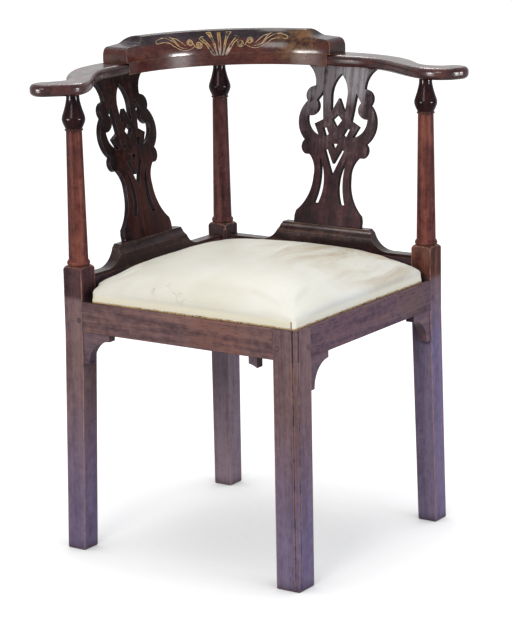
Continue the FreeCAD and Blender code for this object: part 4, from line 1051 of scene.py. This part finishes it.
def leather():
    """Cream hide: fine pores, faint creases, stains, cracks, and a dirty-rimmed side that is
    painted lighter and yellower, partly as painted light.
    """
    paint = Paint("cream_leather")
    height = paint.axis(paint.place, "Z")
    broad = paint.noise(paint.turned(along_v, (3.0, 1.0, 0.0)), 5.5, 5, 0.62, 0.8)
    colour = paint.mix(paint.ramp(broad, 0.35, 0.65), (0.72, 0.70, 0.59), (0.765, 0.75, 0.66))
    colour = stain_leather(paint, colour)
    # The upright side is painted lighter and yellower: partly a yellower tint of the hide, partly
    # painted light
    side = paint.ramp(height, 448 * MM, 439 * MM, 0.0, 0.85)
    colour = paint.mix(side, colour, (0.90, 0.85, 0.66))
    colour = crack_leather(paint, colour)
    colour = paint_slit_shade(paint, colour, height)
    colour = dirty_rim(paint, colour, height)
    grain = paint.cells(paint.place, 900.0)
    lines = paint.noise(paint.scaled(paint.turned((0.9, 0.3, 0)), (12, 60, 30)), 1.0, 5, 0.6, 1.0)
    relief = paint.math("ADD", paint.times(grain, 0.25), lines)
    return paint.finish(colour, paint.ramp(broad, 0.3, 0.7, 0.45, 0.60),
                        paint.bump(relief, 0.7 * MM, 0.45), gloss=0.15)


def add_seat_cover():
    """The leather, puffed up by the stuffing and turned in under the frame."""
    obj = pad_object("leather_seat", inset=0.3 * MM, bottom=cover_bottom, drop=0.5 * MM,
                     voxel=4.5 * MM)
    soften(obj.data, rounds=6, share=0.5, keep_below=cover_edge_height - 10 * MM)
    puff_up(obj, 5 * MM)
    soften(obj.data, rounds=2, share=0.4, keep_below=rail_top + 2 * MM)
    crease(obj.data)
    open_underside(obj.data)
    add_skin(obj, cover_thickness, -1)
    fine = obj.modifiers.new("fine", "SUBSURF")
    fine.levels = 1
    fine.render_levels = 1
    smooth(obj.data)
    cover_with(obj.data, leather())
    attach(obj, "seat")
    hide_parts("seat_cover")


def fibre(name, dark, light, scale):
    """Matted hair and fibre."""
    paint = Paint(name)
    strands = paint.noise(paint.scaled(paint.place, (scale, scale * 0.4, scale)), 1.0, 8, 0.75,
                          3.0)
    colour = paint.mix(paint.ramp(strands, 0.35, 0.65), dark, light)
    return paint.finish(colour, 0.95, paint.bump(strands, 2 * MM, 0.8))


def woven(name, dark, light, pitch):
    """A plain weave of jute threads, along and across the seat's sides."""
    wave_at_scale_one = 0.314
    paint = Paint(name)
    place = paint.turned(along_v)
    slub = paint.noise(place, 90.0, 4, 0.6)
    threads = []
    for direction in ("X", "Y"):
        values = {"Vector": place, "Scale": wave_at_scale_one / pitch, "Distortion": 0.6}
        wave = paint.add("ShaderNodeTexWave", values, bands_direction=direction)
        threads.append(wave.outputs["Fac"])
    over = paint.math("MAXIMUM", *threads)
    tone = paint.times(over, paint.ramp(slub, 0.3, 0.7, 0.7, 1.0))
    return paint.finish(paint.mix(tone, dark, light), 0.9, paint.bump(over, 0.6 * MM, 0.9))


def add_stuffing():
    """The hair under the leather, lumpy on top."""
    obj = pad_object("hair_pad", inset=4 * MM, bottom=stuffing_bottom, drop=5 * MM,
                     voxel=8 * MM)
    for vertex in obj.data.vertices:
        bulge = noise.noise(vertex.co * 40) * 1.2 * MM
        if vertex.co.z > 447 * MM:
            vertex.co.z += bulge - 1.5 * MM
    smooth(obj.data)
    cover_with(obj.data, fibre("hair", (0.05, 0.035, 0.025), (0.22, 0.16, 0.11), 240))
    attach(obj, "seat")
    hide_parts("seat_stuffing")


def webbing_level(run, crossings, first_over):
    """A strip's level, which goes over and under the strips that it crosses."""
    clear_of_frame = 1.3 * MM
    lift = 0.9 * MM
    crossing_reach = 55 * MM
    level = frame_top + clear_of_frame
    for other, crossing in enumerate(crossings):
        near = max(0.0, 1 - ((run - crossing) / crossing_reach) ** 2)
        sign = 1 if (other + first_over) % 2 else -1
        level += sign * lift * near ** 0.5
    return level


def strip_object(name, centre, crossings, first_over, long):
    """A webbing strip between two bars of the seat frame. A long one runs the other way."""
    start = webbing_low - webbing_lap
    end = webbing_high + webbing_lap
    steps = 72
    mesh = bmesh.new()
    rows = []
    for index in range(steps + 1):
        run = start + (end - start) * (index / steps)
        level = webbing_level(run, crossings, first_over)
        row = []
        for side in (-1, -0.5, 0, 0.5, 1):
            place = centre + side * webbing_width / 2
            v, u = (place, run) if long else (run, place)
            row.append(mesh.verts.new(seat_point(v, u, level)))
        rows.append(row)
    bridge(mesh, rows, closed=False)
    obj = mesh_object(name, mesh)
    smooth(obj.data)
    add_skin(obj, webbing_thickness, 0)
    return obj


def add_webbing():
    """Six jute strips that pass over and under each other."""
    weave = woven("jute", (0.16, 0.10, 0.05), (0.46, 0.34, 0.20), 2.2 * MM)
    spacing = (webbing_high - webbing_low) / 4
    places = [webbing_low + spacing, (webbing_low + webbing_high) / 2, webbing_high - spacing]
    for row, name in enumerate(("cross", "long")):
        for index, centre in enumerate(places):
            node = "webbing_%s_%d" % (name, index + 1)
            obj = strip_object("jute_%s_%d" % (name, index + 1), centre, places, index + row,
                               long=name == "long")
            cover_with(obj.data, weave)
            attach(obj, "seat")
            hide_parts(node)


def add_hessian():
    """The coarse cloth between the webbing and the stuffing."""
    mesh = bmesh.new()
    outline = seat_outline(hessian_inset)
    mesh.faces.new([mesh.verts.new(seat_point(v, u, hessian_level)) for v, u in outline])
    bmesh.ops.triangulate(mesh, faces=mesh.faces)
    area = sum(face.calc_area() for face in mesh.faces)
    obj = mesh_object("hessian", mesh)
    add_skin(obj, hessian_thickness, 0)
    cover_with(obj.data, woven("coarse_cloth", (0.14, 0.09, 0.05), (0.50, 0.39, 0.24), 1.6 * MM))
    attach(obj, "seat")
    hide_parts("seat_hessian")


def ease_cad_shading():
    """Curved CAD faces shade smoothly, and their sharp edges stay sharp."""
    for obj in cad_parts.values():
        smooth(obj.data)
        obj.data.set_sharp_from_angle(angle=math.radians(28))


add_camera()
add_studio()
ease_cad_shading()
dress_posts()
dress_rails()
dress_shoes_and_brackets()
dress_splats()
dress_arms_and_crest()
dress_plain_wood()
dress_iron()
add_carving()
add_seat_cover()
add_stuffing()
add_webbing()
add_hessian()
